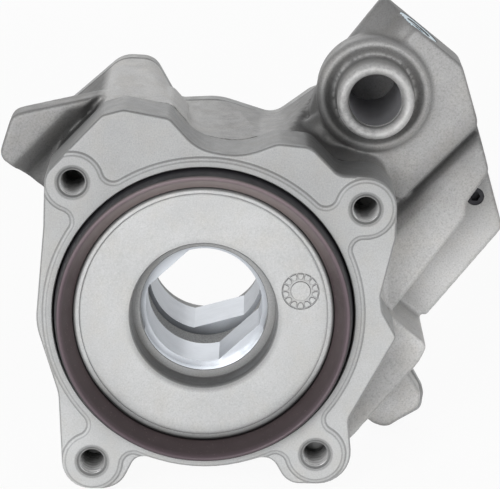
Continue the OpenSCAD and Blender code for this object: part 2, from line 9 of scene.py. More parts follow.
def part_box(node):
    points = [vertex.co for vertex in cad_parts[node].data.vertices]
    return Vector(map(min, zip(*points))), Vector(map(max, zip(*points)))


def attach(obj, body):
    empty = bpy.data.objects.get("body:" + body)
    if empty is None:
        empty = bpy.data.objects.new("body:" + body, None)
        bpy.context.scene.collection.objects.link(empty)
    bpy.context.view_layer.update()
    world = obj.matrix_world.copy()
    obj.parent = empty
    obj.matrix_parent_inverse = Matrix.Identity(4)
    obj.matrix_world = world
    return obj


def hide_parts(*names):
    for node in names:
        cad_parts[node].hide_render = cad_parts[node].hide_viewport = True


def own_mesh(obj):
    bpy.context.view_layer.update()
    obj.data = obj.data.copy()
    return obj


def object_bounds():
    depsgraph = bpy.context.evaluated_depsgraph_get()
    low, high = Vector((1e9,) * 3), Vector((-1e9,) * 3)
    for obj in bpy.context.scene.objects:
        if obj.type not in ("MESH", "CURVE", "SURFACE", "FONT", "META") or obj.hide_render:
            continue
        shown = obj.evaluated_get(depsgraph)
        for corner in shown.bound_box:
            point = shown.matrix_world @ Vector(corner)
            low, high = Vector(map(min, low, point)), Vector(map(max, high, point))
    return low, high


bl_info = {
    "name": "Engine Oil Pump",
    "version": (1, 0, 0),
    "blender": (4, 5, 0),
    "location": "View3D > Sidebar > Oil Pump",
    "description": "Dresses the model of an engine oil pump in its cast and machined finishes",
    "category": "Object",
}

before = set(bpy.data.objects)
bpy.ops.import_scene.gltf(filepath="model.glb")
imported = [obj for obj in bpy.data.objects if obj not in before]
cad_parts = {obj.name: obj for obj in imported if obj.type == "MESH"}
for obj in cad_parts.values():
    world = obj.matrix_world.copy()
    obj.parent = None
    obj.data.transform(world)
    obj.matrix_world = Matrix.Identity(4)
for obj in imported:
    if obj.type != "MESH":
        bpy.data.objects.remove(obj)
cad_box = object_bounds()
MM = 0.001

# Depths below the mounting face, and radii, taken from the model
FLANGE_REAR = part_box("front_cover")[1].y
BODY_FRONT, BODY_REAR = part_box("pump_body")[0].y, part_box("pump_body")[1].y
COVER_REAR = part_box("rear_cover")[1].y
LUG_FRONT = FLANGE_REAR + 2 * MM
PLATE_FRONT, PLATE_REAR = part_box("separator_plate")[0].y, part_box("separator_plate")[1].y
SEAL_OUT, SEAL_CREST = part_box("face_seal")[1].x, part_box("face_seal")[0].y
ROTOR_X = (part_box("feed_outer_rotor")[0].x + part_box("feed_outer_rotor")[1].x) / 2
POCKET_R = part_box("feed_outer_rotor")[1].z + 0.05 * MM

# Screw holes: the clearance holes, the holes tapped in the front cover, and the short ones in the body
SCREW_HOLE_R = 2.65 * MM
SCREW_TAP_R, SCREW_TAP_DEPTH = 2.54 * MM, 10 * MM
COVER_SCREW_DEPTH = 7 * MM

# The passage plug's hole and the outlet passage: their radii and depths below the mounting face
PASSAGE_R, PASSAGE_FRONT, PASSAGE_REAR = 2.04 * MM, 37 * MM, 42.8 * MM
OUTLET_END, OUTLET_POINT = 43.5 * MM, 44.5 * MM

# The relief bore: radii, and starts along its axis from beside the snout
RELIEF_R, RELIEF_START = 2.6 * MM, 7 * MM
PLUG_R, PLUG_START = 3.19 * MM, 13.5 * MM
SPOT_SINK = 0.15 * MM

# What is round on the crank's axis, and the floor of the feed rotors' pocket
PILOT_R = 28.4 * MM
ROTOR_BORE_R = 12.75 * MM
REAR_BORE_R = 12.9 * MM
PLATE_RIM_R = 15 * MM
FEED_FLOOR = 22.4 * MM

# Metal that stands past the body's joint faces until they are faced off, and how far fillings reach into it
STOCK, FILLING_STOCK = 1.5 * MM, 1.4 * MM

# Places on the mounting face in millimetres: right, up
TAPS = [(34.1, 23.0), (-27.3, 28.8), (-24.0, -32.4), (23.8, -30.8)]
TAP_DEPTHS = [17, 17, 14, 12]
SNOUT = (36.5, 43.4)
DIAL = (20.5, 5.2)
LUG_FOOT = (-33.2, 30.5)
SCREWS = [(-15.3, 38.4), (24.0, 25.5), (33.6, -6.6), (-25.0, -22.6)]
COVER_SCREWS = [(42.6, -32.4), (-29.6, 6.0)]
PASSAGE_PLUG = (59.9, 17.0)

# The deep corner between the flange and the snout, which is given painted shade
GULLY = (27, 37)

# The direction of the relief bore, up from the right
RELIEF_ANGLE = math.radians(50.6)

# How far each inner rotor's flats are turned, and the distance of a flat from the axis
FEED_TURN, SCAVENGE_TURN = math.radians(42), math.radians(15)
CRANK_FLAT = 11.1 * MM

# The studio, in metres, with the camera's lens and sensor in millimetres
CAMERA_PLACE = (9.82 * MM, -590.7 * MM, 162.75 * MM)
CAMERA_TILT = math.radians(76)
CAMERA_LENS, CAMERA_SENSOR = 208.8, 36
LAMP_AIM = (0.01, 0.02, 0.0)
FLOOR_HALF, FLOOR_THICK = 2.5, 0.01

WHITE = (1, 1, 1)

# Outlines in millimetres: each corner is right, up and the radius of its rounding, clockwise
FLANGE = [
    (*LUG_FOOT, 5), (-21.0, 43.0, 2.5), (-16.5, 44.2, 4), (-6.9, 42.3, 3), (-1.2, 35.8, 10),
    (8.0, 34.0, 15), (15.6, 36.9, 4), (22.6, 36.1, 4), (28.4, 30.0, 4), (40.8, 29.6, 6.6),
    (40.5, 16.5, 4), (37.4, 4.0, 3), (37.8, 0.6, 3), (40.9, -5.0, 1.4), (30.8, -23.2, 3),
    (32.0, -37.6, 7), (17.8, -37.6, 4.5), (14.2, -31.0, 3.5), (0, -35.2, 34), (-14.4, -30.8, 3),
    (-18.4, -38.6, 5.5), (-30.3, -38.6, 6.1), (-31.0, -17.5, 10), (-35.6, -2.0, 14), (-33.6, 19, 20),
]
REAR_COVER = [
    (-33.5, 33.6, 5), (-18.8, 46.2, 6), (-11.6, 45.8, 4.5), (-6.4, 36.2, 3), (3.0, 36.6, 14),
    (15.2, 32.6, 5), (25.0, 39.6, 6), (40.0, 36.0, 6), (44.0, 4.0, 5), (43.6, -12.0, 3),
    (47.0, -26.6, 2.5), (49.9, -32.0, 3), (49.3, -36.2, 2.5), (41.0, -40.9, 3.5), (30.5, -30.6, 5),
    (14.2, -32.0, 4), (0, -35.0, 34), (-15.4, -31.0, 3), (-27.6, -33.5, 6),
    (-34.5, -17.5, 10), (-34.6, 19, 20),
]


def length(name, description, default, low, high):
    """A length in the panel. The arguments are in millimetres, and the property is in metres."""
    return bpy.props.FloatProperty(
        name=name, description=description, default=default * MM, min=low * MM, max=high * MM,
        precision=5, unit="LENGTH", subtype="DISTANCE")


def colour(name, description, default):
    """A colour in the panel."""
    return bpy.props.FloatVectorProperty(
        name=name, description=description, default=default, min=0, max=1, size=3, subtype="COLOR")


def lamp_power(name, description, default):
    """The power of a lamp, in watts."""
    return bpy.props.FloatProperty(
        name=name, description=description, default=default, min=0, unit="POWER")


def light_strength(name, description, default):
    """The strength of a light that comes from all round."""
    return bpy.props.FloatProperty(name=name, description=description, default=default, min=0)


class PumpCover(bpy.types.PropertyGroup):
    land_height: length("Land Height", "Height of the machined land above the cast face", 0.6, 0.2, 1)
    edge: length("Cast Edge", "Radius of the flange's cast edges", 0.55, 0.2, 1.1)
    land_r: length("Land Radius", "Radius of the land round the seal groove", 33.5, 33, 34)
    boss_land_r: length("Boss Land Radius", "Radius of the land round each tapped hole", 5.9, 5, 6.2)
    fillet: length("Land Fillet", "Radius of the hollow fillets of the land's outline", 3, 2, 5)
    groove_r: length("Groove Radius", "Radius of the seal groove's outer wall", 32, 31, 33)
    groove_depth: length("Groove Depth", "Depth of the seal groove", 4, 3, 5)
    disc_r: length("Disc Radius", "Radius of the disc inside the seal groove", 27.6, 27, 28)
    rim: length("Disc Rim", "Width of the disc's raised rim", 1.3, 1, 2)
    dish: length("Dish", "Depth of the disc's face along its top edge", 0.62, 0.3, 1)
    dish_low: length("Low Dish", "Depth of the disc's face along its bottom edge", 0.14, 0.1, 0.6)
    collar_r: length("Collar Radius", "Radius of the recess round the crank opening", 15.4, 15, 16)
    shoulder: length("Shoulder", "Rounding of the recess's shoulder", 1.15, 0.5, 1.5)
    collar_depth: length("Collar Depth", "Depth of the recess", 5.8, 5, 6.2)
    hole_r: length("Opening Radius", "Radius of the crank opening", 13.6, 13, 14.5)
    pilot_r: length("Pilot Recess", "Radius of the recess for the body's pilot", 28.55, 28, 29)
    tap_r: length("Tap Radius", "Radius inside the thread of the tapped holes", 2.65, 2.2, 3)
    thread: length("Thread Depth", "Depth of the thread's grooves", 0.45, 0.1, 0.6)
    pitch: length("Thread Pitch", "Pitch of the thread", 1.6, 0.7, 1.75)


class PumpBody(bpy.types.PropertyGroup):
    grain: length("Casting Step", "Step of the casting's mesh before it is smoothed", 0.45, 0.3, 1)
    snout_r: length("Snout Radius", "Outside radius of the outlet snout", 8.2, 7.5, 8.6)
    snout_bore_r: length("Outlet Radius", "Radius of the outlet passage", 5.6, 5, 6)
    snout_tip: length("Snout Tip", "Depth of the snout's tip below the mounting face", 12, 10, 14)
    boss_face: length("Boss Face", "Depth of the boss face round the snout", 20, 19, 21)
    recess_depth: length("Recess Depth", "Depth of the ring recess", 2, 0.5, 3)
    relief_reach: length("Relief Reach", "Distance from the snout's axis to the angled face", 16.7, 16, 18)
    relief_shift: length("Relief Step", "Sideways step of the relief bore", 1.1, 0, 2)
    relief_depth: length("Relief Depth", "Depth of the relief bore's axis", 27.5, 26, 29)
    spot_r: length("Spot Face", "Radius of the spot face round the relief plug", 5.1, 4, 6)
    web_r: length("Web Hole", "Radius of the crank passage through the web", 13.05, 12.8, 14.6)


class PumpColours(bpy.types.PropertyGroup):
    cover: colour("Cover", "Cast face of the front cover", (0.445, 0.45, 0.452))
    body: colour("Body", "Lightest cast skin of the body", (0.62, 0.618, 0.615))
    machined: colour("Machined", "Cut threads and machined faces", (0.72, 0.72, 0.72))
    polished: colour("Polished", "Bored and polished aluminium", (0.93, 0.94, 0.95))
    seal: colour("Seal", "Elastomer of the face seal", (0.058, 0.043, 0.0455))
    rotor: colour("Rotor", "Ground steel of the rotors", (0.60, 0.63, 0.675))
    plug: colour("Plug", "Plated steel of the relief plug", (0.62, 0.73, 0.80))
    dark: colour("Dark", "Blackened steel of the screws", (0.03, 0.03, 0.033))


class PumpStage(bpy.types.PropertyGroup):
    key: lamp_power("Key", "Power of the key light", 7.0)
    fill: lamp_power("Fill", "Power of the fill light", 2.6)
    back: lamp_power("Back", "Power of the back light", 1.3)
    sky: light_strength("Sky", "Strength of the studio's walls", 0.55)
    ceiling: light_strength("Ceiling", "Strength of the studio's ceiling", 0.18)


def unit(x, y):
    """The direction of a step, with a length of 1."""
    size = math.hypot(x, y)
    return x / size, y / size


def quarter(steps):
    """Angles from nothing to a quarter turn."""
    return [math.pi / 2 * k / steps for k in range(steps + 1)]


def arc(cx, cy, r, start, sweep, steps):
    """Points of a round stretch, both ends included."""
    return [(cx + r * math.cos(start + sweep * k / steps), cy + r * math.sin(start + sweep * k / steps))
            for k in range(steps + 1)]


def corner_arc(before, at, after, steps):
    """Points of one rounded corner, in millimetres."""
    x, y, r = at
    ax, ay = unit(before[0] - x, before[1] - y)
    bx, by = unit(after[0] - x, after[1] - y)
    half = math.acos(max(-1, min(1, ax * bx + ay * by))) / 2
    mx, my = unit(ax + bx, ay + by)
    cx, cy = x + mx * r / math.sin(half), y + my * r / math.sin(half)
    fx, fy = x + ax * r / math.tan(half) - cx, y + ay * r / math.tan(half) - cy
    sweep = (math.pi - 2 * half) * (-1 if ax * by - ay * bx > 0 else 1)
    return arc(cx, cy, r, math.atan2(fy, fx), sweep, steps)


def outline(corners, steps=8):
    """A closed outline with rounded corners, in metres."""
    count = len(corners)
    points = []
    for i in range(count):
        points += corner_arc(corners[i - 1], corners[i], corners[(i + 1) % count], steps)
    return [(x * MM, y * MM) for x, y in points]


def grown(points, distance):
    """A clockwise outline moved outwards by a distance, or inwards by a negative one."""
    count = len(points)
    out = []
    for i, (x, y) in enumerate(points):
        px, py = points[i - 1]
        nx, ny = points[(i + 1) % count]
        ax, ay = unit(x - px, y - py) if (x, y) != (px, py) else (0, 0)
        bx, by = unit(nx - x, ny - y) if (x, y) != (nx, ny) else (0, 0)
        tx, ty = unit(ax + bx, ay + by)
        out.append((x - ty * distance, y + tx * distance))
    return out


def clockwise(points):
    """The outline's points in clockwise order, seen from the front."""
    points = list(points)
    area = sum(points[i - 1][0] * points[i][1] - points[i][0] * points[i - 1][1]
               for i in range(len(points)))
    return points if area < 0 else points[::-1]


def new_piece(name, mesh):
    """Puts a mesh into the scene as a piece of its own."""
    piece = bpy.data.objects.new(name, mesh)
    bpy.context.scene.collection.objects.link(piece)
    return piece


def from_bmesh(name, bm):
    """Makes a piece of what was built, with its seams closed and its faces turned outwards."""
    bmesh.ops.remove_doubles(bm, verts=bm.verts, dist=1e-7)
    bmesh.ops.recalc_face_normals(bm, faces=bm.faces)
    mesh = bpy.data.meshes.new(name)
    bm.to_mesh(mesh)
    bm.free()
    return new_piece(name, mesh)


def stacked(name, rings):
    """A closed solid through outlines with equally many points, each given as (depth, points)."""
    bm = bmesh.new()
    loops = [[bm.verts.new((x, depth, z)) for x, z in points] for depth, points in rings]
    for first, second in zip(loops, loops[1:]):
        for i in range(len(first)):
            bm.faces.new((first[i - 1], first[i], second[i], second[i - 1]))
    bm.faces.new(loops[0])
    bm.faces.new(loops[-1][::-1])
    return from_bmesh(name, bm)


def turned(name, profile, centre=(0, 0), segments=192):
    """A solid of revolution about a line along Y. The closed profile is a list of (radius, depth)."""
    bm = bmesh.new()
    rings = []
    for r, y in profile:
        count = segments if r > 1e-9 else 1
        rings.append([bm.verts.new((
            centre[0] + r * math.cos(2 * math.pi * k / count), y,
            centre[1] + r * math.sin(2 * math.pi * k / count))) for k in range(count)])
    for a, b in zip(rings, rings[1:] + rings[:1]):
        for k in range(segments):
            corners = [a[(k - 1) % len(a)], a[k % len(a)], b[k % len(b)], b[(k - 1) % len(b)]]
            distinct = list(dict.fromkeys(corners))
            if len(distinct) > 2:
                bm.faces.new(distinct)
    return from_bmesh(name, bm)


def cylinder(name, centre, r, front, rear, segments=64):
    """A plain cylinder along Y."""
    return turned(name, [(0, front), (r, front), (r, rear), (0, rear)], centre, segments)


def place(x, z):
    """A place given in millimetres, in metres."""
    return x * MM, z * MM


def settle(piece):
    """Applies the piece's modifiers to its mesh."""
    graph = bpy.context.evaluated_depsgraph_get()
    mesh = bpy.data.meshes.new_from_object(piece.evaluated_get(graph))
    old = piece.data
    piece.modifiers.clear()
    piece.data = mesh
    bpy.data.meshes.remove(old)
    return piece


def combine(piece, operation, *tools):
    """Cuts, joins or limits a piece with each of the tools, which are used up."""
    for tool in tools:
        modifier = piece.modifiers.new("Combine", "BOOLEAN")
        modifier.operation = operation
        modifier.solver = "MANIFOLD"
        modifier.object = tool
        settle(piece)
        if not piece.data.polygons:
            raise RuntimeError(f"{piece.name}: nothing is left after {tool.name}")
        bpy.data.objects.remove(tool)
    return piece


def shaded(piece, degrees=32):
    """Smooth shading with crisp edges above an angle, and flat faces kept flat."""
    mesh = piece.data
    mesh.polygons.foreach_set("use_smooth", [True] * len(mesh.polygons))
    mesh.set_sharp_from_angle(angle=math.radians(degrees))
    modifier = piece.modifiers.new("Flat Faces", "WEIGHTED_NORMAL")
    modifier.keep_sharp = True
    return piece


def dress(piece, body, slot, finish, *stands_for):
    """Gives a finished piece its material and its body, and hides the model nodes that it stands for."""
    piece.data.materials.clear()
    piece.data.materials.append(finish)
    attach(piece, body)
    if stands_for:
        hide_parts(*stands_for)
    return piece


def zone(piece, finish, test):
    """Gives the faces whose centre passes the test, in millimetres, a finish of their own."""
    piece.data.materials.append(finish)
    index = len(piece.data.materials) - 1
    for face in piece.data.polygons:
        if test(*(c / MM for c in face.center)):
            face.material_index = index


def on_wall(x, z, r, centre=(0, 0), slack=0.05):
    """Whether a point lies on a round wall along Y, all in millimetres."""
    return abs(math.hypot(x - centre[0], z - centre[1]) - r) < slack


class Finish:
    """A node material whose colour, roughness and bump come from textures on the piece."""

    def __init__(self, name):
        self.material = bpy.data.materials.new(name)
        self.material.use_nodes = True
        self.tree = self.material.node_tree
        self.shader = self.tree.nodes["Principled BSDF"]
        self.where = self.add("ShaderNodeTexCoord").outputs["Object"]
        self.height = None

    def add(self, kind, **values):
        node = self.tree.nodes.new(kind)
        for key, value in values.items():
            setattr(node, key, value)
        return node

    def link(self, source, target):
        self.tree.links.new(source, target)

    def noise(self, size_mm, detail=2.0, roughness=0.5, stretch=(1, 1, 1)):
        """Noise whose features are about this many millimetres wide."""
        node = self.add("ShaderNodeTexNoise")
        node.inputs["Scale"].default_value = 1 / (size_mm * MM)
        node.inputs["Detail"].default_value = detail
        node.inputs["Roughness"].default_value = roughness
        if stretch == (1, 1, 1):
            self.link(self.where, node.inputs["Vector"])
        else:
            mapping = self.add("ShaderNodeMapping")
            mapping.inputs["Scale"].default_value = stretch
            self.link(self.where, mapping.inputs["Vector"])
            self.link(mapping.outputs["Vector"], node.inputs["Vector"])
        return node.outputs["Fac"]

    def span(self, source, low, high, start=0.3, end=0.7):
        """Runs from low to high while the source runs from start to end."""
        node = self.add("ShaderNodeMapRange")
        for key, value in (("From Min", start), ("From Max", end), ("To Min", low), ("To Max", high)):
            node.inputs[key].default_value = value
        self.link(source, node.inputs["Value"])
        return node.outputs["Result"]

    def mix(self, factor, first, second, blend="MIX"):
        """Blends two colours. Each value is a socket, a colour or a number."""
        node = self.add("ShaderNodeMix", data_type="RGBA", blend_type=blend)
        for value, socket in ((factor, node.inputs[0]), (first, node.inputs[6]), (second, node.inputs[7])):
            if isinstance(value, bpy.types.NodeSocket):
                self.link(value, socket)
            elif isinstance(value, (int, float)):
                socket.default_value = value
            else:
                socket.default_value = (*value, 1)
        return node.outputs[2]

    def bump(self, source, height_mm, strength=1.0):
        """Adds a bump of this height on top of the ones before it."""
        node = self.add("ShaderNodeBump")
        node.inputs["Distance"].default_value = height_mm * MM
        node.inputs["Strength"].default_value = strength
        self.link(source, node.inputs["Height"])
        if self.height:
            self.link(self.height, node.inputs["Normal"])
        self.height = node.outputs["Normal"]
        self.link(self.height, self.shader.inputs["Normal"])

    def arithmetic(self, operation, *values):
        """One step of arithmetic on numbers or sockets."""
        node = self.add("ShaderNodeMath", operation=operation)
        for value, socket in zip(values, node.inputs):
            if isinstance(value, (int, float)):
                socket.default_value = value
            else:
                self.link(value, socket)
        return node.outputs[0]

    def along(self, point, way):
        """Distance in millimetres from a point in millimetres, along a direction."""
        shift = self.add("ShaderNodeVectorMath", operation="SUBTRACT")
        self.link(self.where, shift.inputs[0])
        shift.inputs[1].default_value = [c * MM for c in point]
        dot = self.add("ShaderNodeVectorMath", operation="DOT_PRODUCT")
        self.link(shift.outputs[0], dot.inputs[0])
        dot.inputs[1].default_value = Vector(way).normalized() / MM
        return dot.outputs["Value"]

    def right(self, x=0):
        """Distance in millimetres to the right of a place."""
        return self.along((x, 0, 0), (1, 0, 0))

    def up(self, z=0):
        """Height in millimetres above a level."""
        return self.along((0, 0, z), (0, 0, 1))

    def behind(self, y=0):
        """Depth in millimetres behind a plane."""
        return self.along((0, y, 0), (0, 1, 0))

    def radius(self, x=0, z=0):
        """Distance in millimetres from a line along Y."""
        shift = self.add("ShaderNodeVectorMath", operation="SUBTRACT")
        self.link(self.where, shift.inputs[0])
        shift.inputs[1].default_value = (x * MM, 0, z * MM)
        flat = self.add("ShaderNodeVectorMath", operation="MULTIPLY")
        self.link(shift.outputs[0], flat.inputs[0])
        flat.inputs[1].default_value = (1 / MM, 0, 1 / MM)
        size = self.add("ShaderNodeVectorMath", operation="LENGTH")
        self.link(flat.outputs[0], size.inputs[0])
        return size.outputs["Value"]

    def curve(self, source, *stops):
        """A value that runs through the stops, each given as (input, output up to 1)."""
        low, high = stops[0][0], stops[-1][0]
        node = self.add("ShaderNodeValToRGB")
        points = node.color_ramp.elements
        while len(points) < len(stops):
            points.new(0.5)
        for point, (at, value) in zip(points, stops):
            point.position = (at - low) / (high - low)
            point.color = (value, value, value, 1)
        self.link(self.span(source, 0, 1, low, high), node.inputs["Fac"])
        return node.outputs["Color"]

    def hollow(self, reach_mm, dark):
        """Painted shade: darkens inner corners and deep places, to this share of the colour."""
        node = self.add("ShaderNodeAmbientOcclusion", samples=8)
        node.inputs["Distance"].default_value = reach_mm * MM
        return self.span(node.outputs["AO"], dark, 1, 0.15, 0.85)

    def facing(self, axis):
        """How far the surface faces along an axis, from -1 to 1."""
        turn = self.add("ShaderNodeSeparateXYZ")
        self.link(self.add("ShaderNodeTexCoord").outputs["Normal"], turn.inputs[0])
        return turn.outputs[axis]

    def upward(self, dark):
        """Painted shade: darkens the faces that look up, to this share of the colour."""
        return self.curve(self.facing("Z"), (-1, 1), (0.05, 1), (0.5, dark), (1, dark))

    def bend(self, dark):
        """Painted shade on rounded edges: darkens surfaces between the front face and the side walls."""
        flat = self.arithmetic("ABSOLUTE", self.facing("Y"))
        return self.curve(flat, (0, 1), (0.12, 1), (0.5, dark), (0.9, dark), (0.985, 1), (1, 1))

    def joint(self, depth, gaps):
        """A thin dark line where two castings meet, broken over this share of its length."""
        off = self.arithmetic("ABSOLUTE", self.behind(depth / MM))
        line = self.curve(off, (0, 0.3), (0.1, 0.45), (0.2, 1), (1, 1))
        broken = self.span(self.noise(2.6, 1), 0, 1, 0.36 + 0.3 * gaps, 0.42 + 0.3 * gaps)
        return self.mix(broken, WHITE, line)

    def times(self, base, *factors):
        """Multiplies a colour by values."""
        for factor in factors:
            base = self.mix(1.0, base, factor, "MULTIPLY")
        return base

    def paint(self, colour, roughness):
        for value, key in ((colour, "Base Color"), (roughness, "Roughness")):
            self.link(value, self.shader.inputs[key])


def shade(tint, factor):
    """A lighter or darker form of a colour."""
    return tuple(min(1, c * factor) for c in tint)


def cast_finish(name, tint, grain=0.32, speck=0.8, tones=None, worn=False, reach=2.6, soft=0.72):
    """Blasted die casting: fine grain, soft blotches, darker specks, and painted shade in hollows, on edges
    and tops.

    Grain and reach are the sizes of the grain and of the hollows given painted shade, in millimetres. Speck
    and soft are how dark the specks and the painted shade on rounded edges are, as shares of the colour.
    """
    f = Finish(name)
    f.shader.inputs["Metallic"].default_value = 0.25
    blotch = f.span(f.noise(16, 3, 0.6), 0, 1, 0.35, 0.65)
    base = f.mix(blotch, shade(tint, 0.94), shade(tint, 1.04))
    stain = tuple(c * k for c, k in zip(tint, (0.99, 0.965, 0.925)))
    base = f.mix(f.span(f.noise(6, 3, 0.6), 0, 0.7, 0.45, 0.68), base, stain)
    fine = f.noise(grain, 2, 0.7)
    base = f.mix(f.span(fine, 0.7, 0, 0.3, 0.5), base, shade(tint, speck))
    base = f.mix(f.span(fine, 0, 0.5, 0.55, 0.7), base, shade(tint, 1.2))
    front = f.joint(FLANGE_REAR, 0.5)
    # Painted shade in hollows, on rounded edges and on faces that look up; the joint line is the castings'
    # own dark seam
    base = f.times(base, f.hollow(reach, 0.5), f.hollow(1.2, 0.8), f.bend(soft), f.upward(0.74), front)
    if tones:
        base = f.times(base, *tones(f))
    if worn:
        share, bright = tip_wear(f, tint)
        base = f.mix(share, base, bright)
    f.paint(base, f.span(f.noise(2.2, 2), 0.5, 0.62))
    f.bump(f.noise(3.5, 2), 0.04)
    f.bump(fine, 0.06, 0.9)
    return f.material


def machined_finish(name, tint, roughness, lines=0.12, shadow=0.6, metal=1.0):
    """Turned or ground metal, with fine marks round the axis.

    Lines is the width of the marks in millimetres, and shadow the shade of deep places.
    """
    f = Finish(name)
    f.shader.inputs["Metallic"].default_value = metal
    marks = f.noise(lines, 2, 0.5, (0.04, 1, 0.04))
    base = f.mix(f.span(f.noise(6, 2), 0, 1), shade(tint, 0.94), shade(tint, 1.04))
    base = f.mix(f.span(marks, 0, 0.3), base, shade(tint, 0.85))
    # Painted shade in deep places
    base = f.times(base, f.hollow(4, shadow))
    f.paint(base, f.span(marks, roughness * 0.8, roughness * 1.25))
    f.bump(marks, 0.004)
    return f.material


def elastomer_finish(name, tint, roughness, tones=None):
    """Moulded rubber with fine pale specks."""
    f = Finish(name)
    f.shader.inputs["Metallic"].default_value = 0.0
    f.shader.inputs["Specular IOR Level"].default_value = 0.3
    base = f.mix(f.span(f.noise(5, 3), 0, 1), shade(tint, 0.9), shade(tint, 1.1))
    specks = f.span(f.noise(0.5, 1), 0, 0.5, 0.68, 0.75)
    base = f.mix(specks, base, shade(tint, 2.6))
    # Painted shade in the rubber's hollows
    base = f.times(base, f.hollow(2.5, 0.35))
    if tones:
        base = tones(f, base)
    f.paint(base, f.span(f.noise(3, 2), roughness * 0.85, roughness * 1.2))
    f.bump(f.noise(0.3, 2), 0.006)
    return f.material


def seal_tones(f, base):
    """Painted light: a pale crest highlight, a nearly black shadowed back, an inner cone lit along the top.
    """
    reach = f.radius()
    # Painted light: the inner cone lighter along the top
    top = f.curve(f.up(), (-32, 0), (8, 0.05), (24, 0.75), (30, 1))
    cone = f.mix(top, base, (0.26, 0.215, 0.21))
    # Painted highlight along the crest
    crest = f.curve(reach, (29.6, 0), (30.2, 0.8), (30.7, 1), (31.0, 0), (32, 0))
    lit = f.mix(f.arithmetic("MULTIPLY", crest, 0.75), cone, (0.13, 0.095, 0.112))
    # Painted shadow on the seal's back
    back = f.curve(reach, (30.7, 0), (31.1, 1), (33, 1))
    # Painted shade towards the bottom
    low = f.curve(f.up(), (-32, 0.72), (-20, 0.8), (0, 1), (32, 1))
    return f.times(f.mix(back, lit, (0.018, 0.017, 0.020)), low)


def thread_finish(name, tint):
    """A freshly cut thread: bright crests, and roots dark with painted shade that deepens further into the
    hole.
    """
    f = Finish(name)
    f.shader.inputs["Metallic"].default_value = 0.6
    base = f.mix(f.span(f.noise(1.5, 2), 0, 1), shade(tint, 0.9), shade(tint, 1.1))
    # Painted shade: darker at the mouth's first turn and again deeper in the hole
    deep = f.curve(f.behind(), (0.4, 0.35), (0.8, 0.5), (1.3, 1), (6, 0.7), (12, 0.35))
    base = f.times(base, f.hollow(0.45, 0.06), deep)
    f.paint(base, f.span(f.noise(0.8, 2), 0.3, 0.42))
    f.bump(f.noise(0.3, 2), 0.01)
    return f.material


def blasted_finish(name, tint):
    """A grey, evenly blasted wall."""
    f = Finish(name)
    f.shader.inputs["Metallic"].default_value = 0.2
    fine = f.noise(0.3, 2, 0.7)
    base = f.mix(f.span(fine, 0, 1, 0.35, 0.65), shade(tint, 0.6), shade(tint, 1.35))
    f.paint(base, f.span(fine, 0.6, 0.75))
    f.bump(fine, 0.06)
    return f.material


def dark_steel_finish(name, tint):
    """Steel with a black, slightly uneven skin."""
    f = Finish(name)
    f.shader.inputs["Metallic"].default_value = 0.85
    base = f.mix(f.span(f.noise(1.5, 3), 0, 1), shade(tint, 0.7), shade(tint, 1.5))
    f.paint(base, f.span(f.noise(0.6, 2), 0.32, 0.5))
    f.bump(f.noise(0.2, 2), 0.006)
    return f.material


def cover_tones(f):
    """Painted shade: flange top, disc's lower edge, opening's sill, gully and tapped holes."""
    reach, up = f.radius(), f.up()
    flange = f.curve(reach, (31, 0), (33, 1), (34, 1))
    # Painted shade: the flange darker towards its top
    shadowed = f.curve(up, (-42, 1), (-5, 0.97), (12, 0.88), (30, 0.74), (46, 0.74))
    # Painted shade along the disc's lower rim
    below = f.curve(up, (-27, 1), (-18, 1), (-9, 0), (0, 0))
    rim = f.curve(reach, (24.0, 1), (25.4, 0.85), (26.2, 0.55), (27.2, 0.16), (27.8, 0.12), (28.2, 1),
                  (29, 1))
    # Painted shade in the opening's recess, darkest along the sill at the bottom
    low = f.curve(up, (-16, 1), (2, 0), (4, 0))
    sill = f.curve(reach, (13.4, 0.6), (15.2, 0.55), (15.5, 0.36), (16.4, 0.6), (17.2, 1), (18, 1))
    crown = f.curve(reach, (13.4, 0.8), (15.4, 0.75), (15.8, 0.85), (16.8, 1), (18, 1))
    # Painted shade in the gully between the flange and the snout
    side = f.curve(f.behind(), (1, 0), (3, 1), (9, 1))
    gully = f.curve(f.radius(*GULLY), (0, 0.4), (7, 0.42), (12, 0.95), (20, 1))
    # Painted shade in and round each tapped hole
    taps = [f.curve(f.radius(*tap), (0, 0.55), (3.6, 0.6), (3.9, 1), (6, 1)) for tap in TAPS]
    return (f.mix(flange, WHITE, shadowed), f.mix(below, WHITE, rim), f.mix(low, crown, sill),
            f.mix(side, WHITE, gully), *taps)


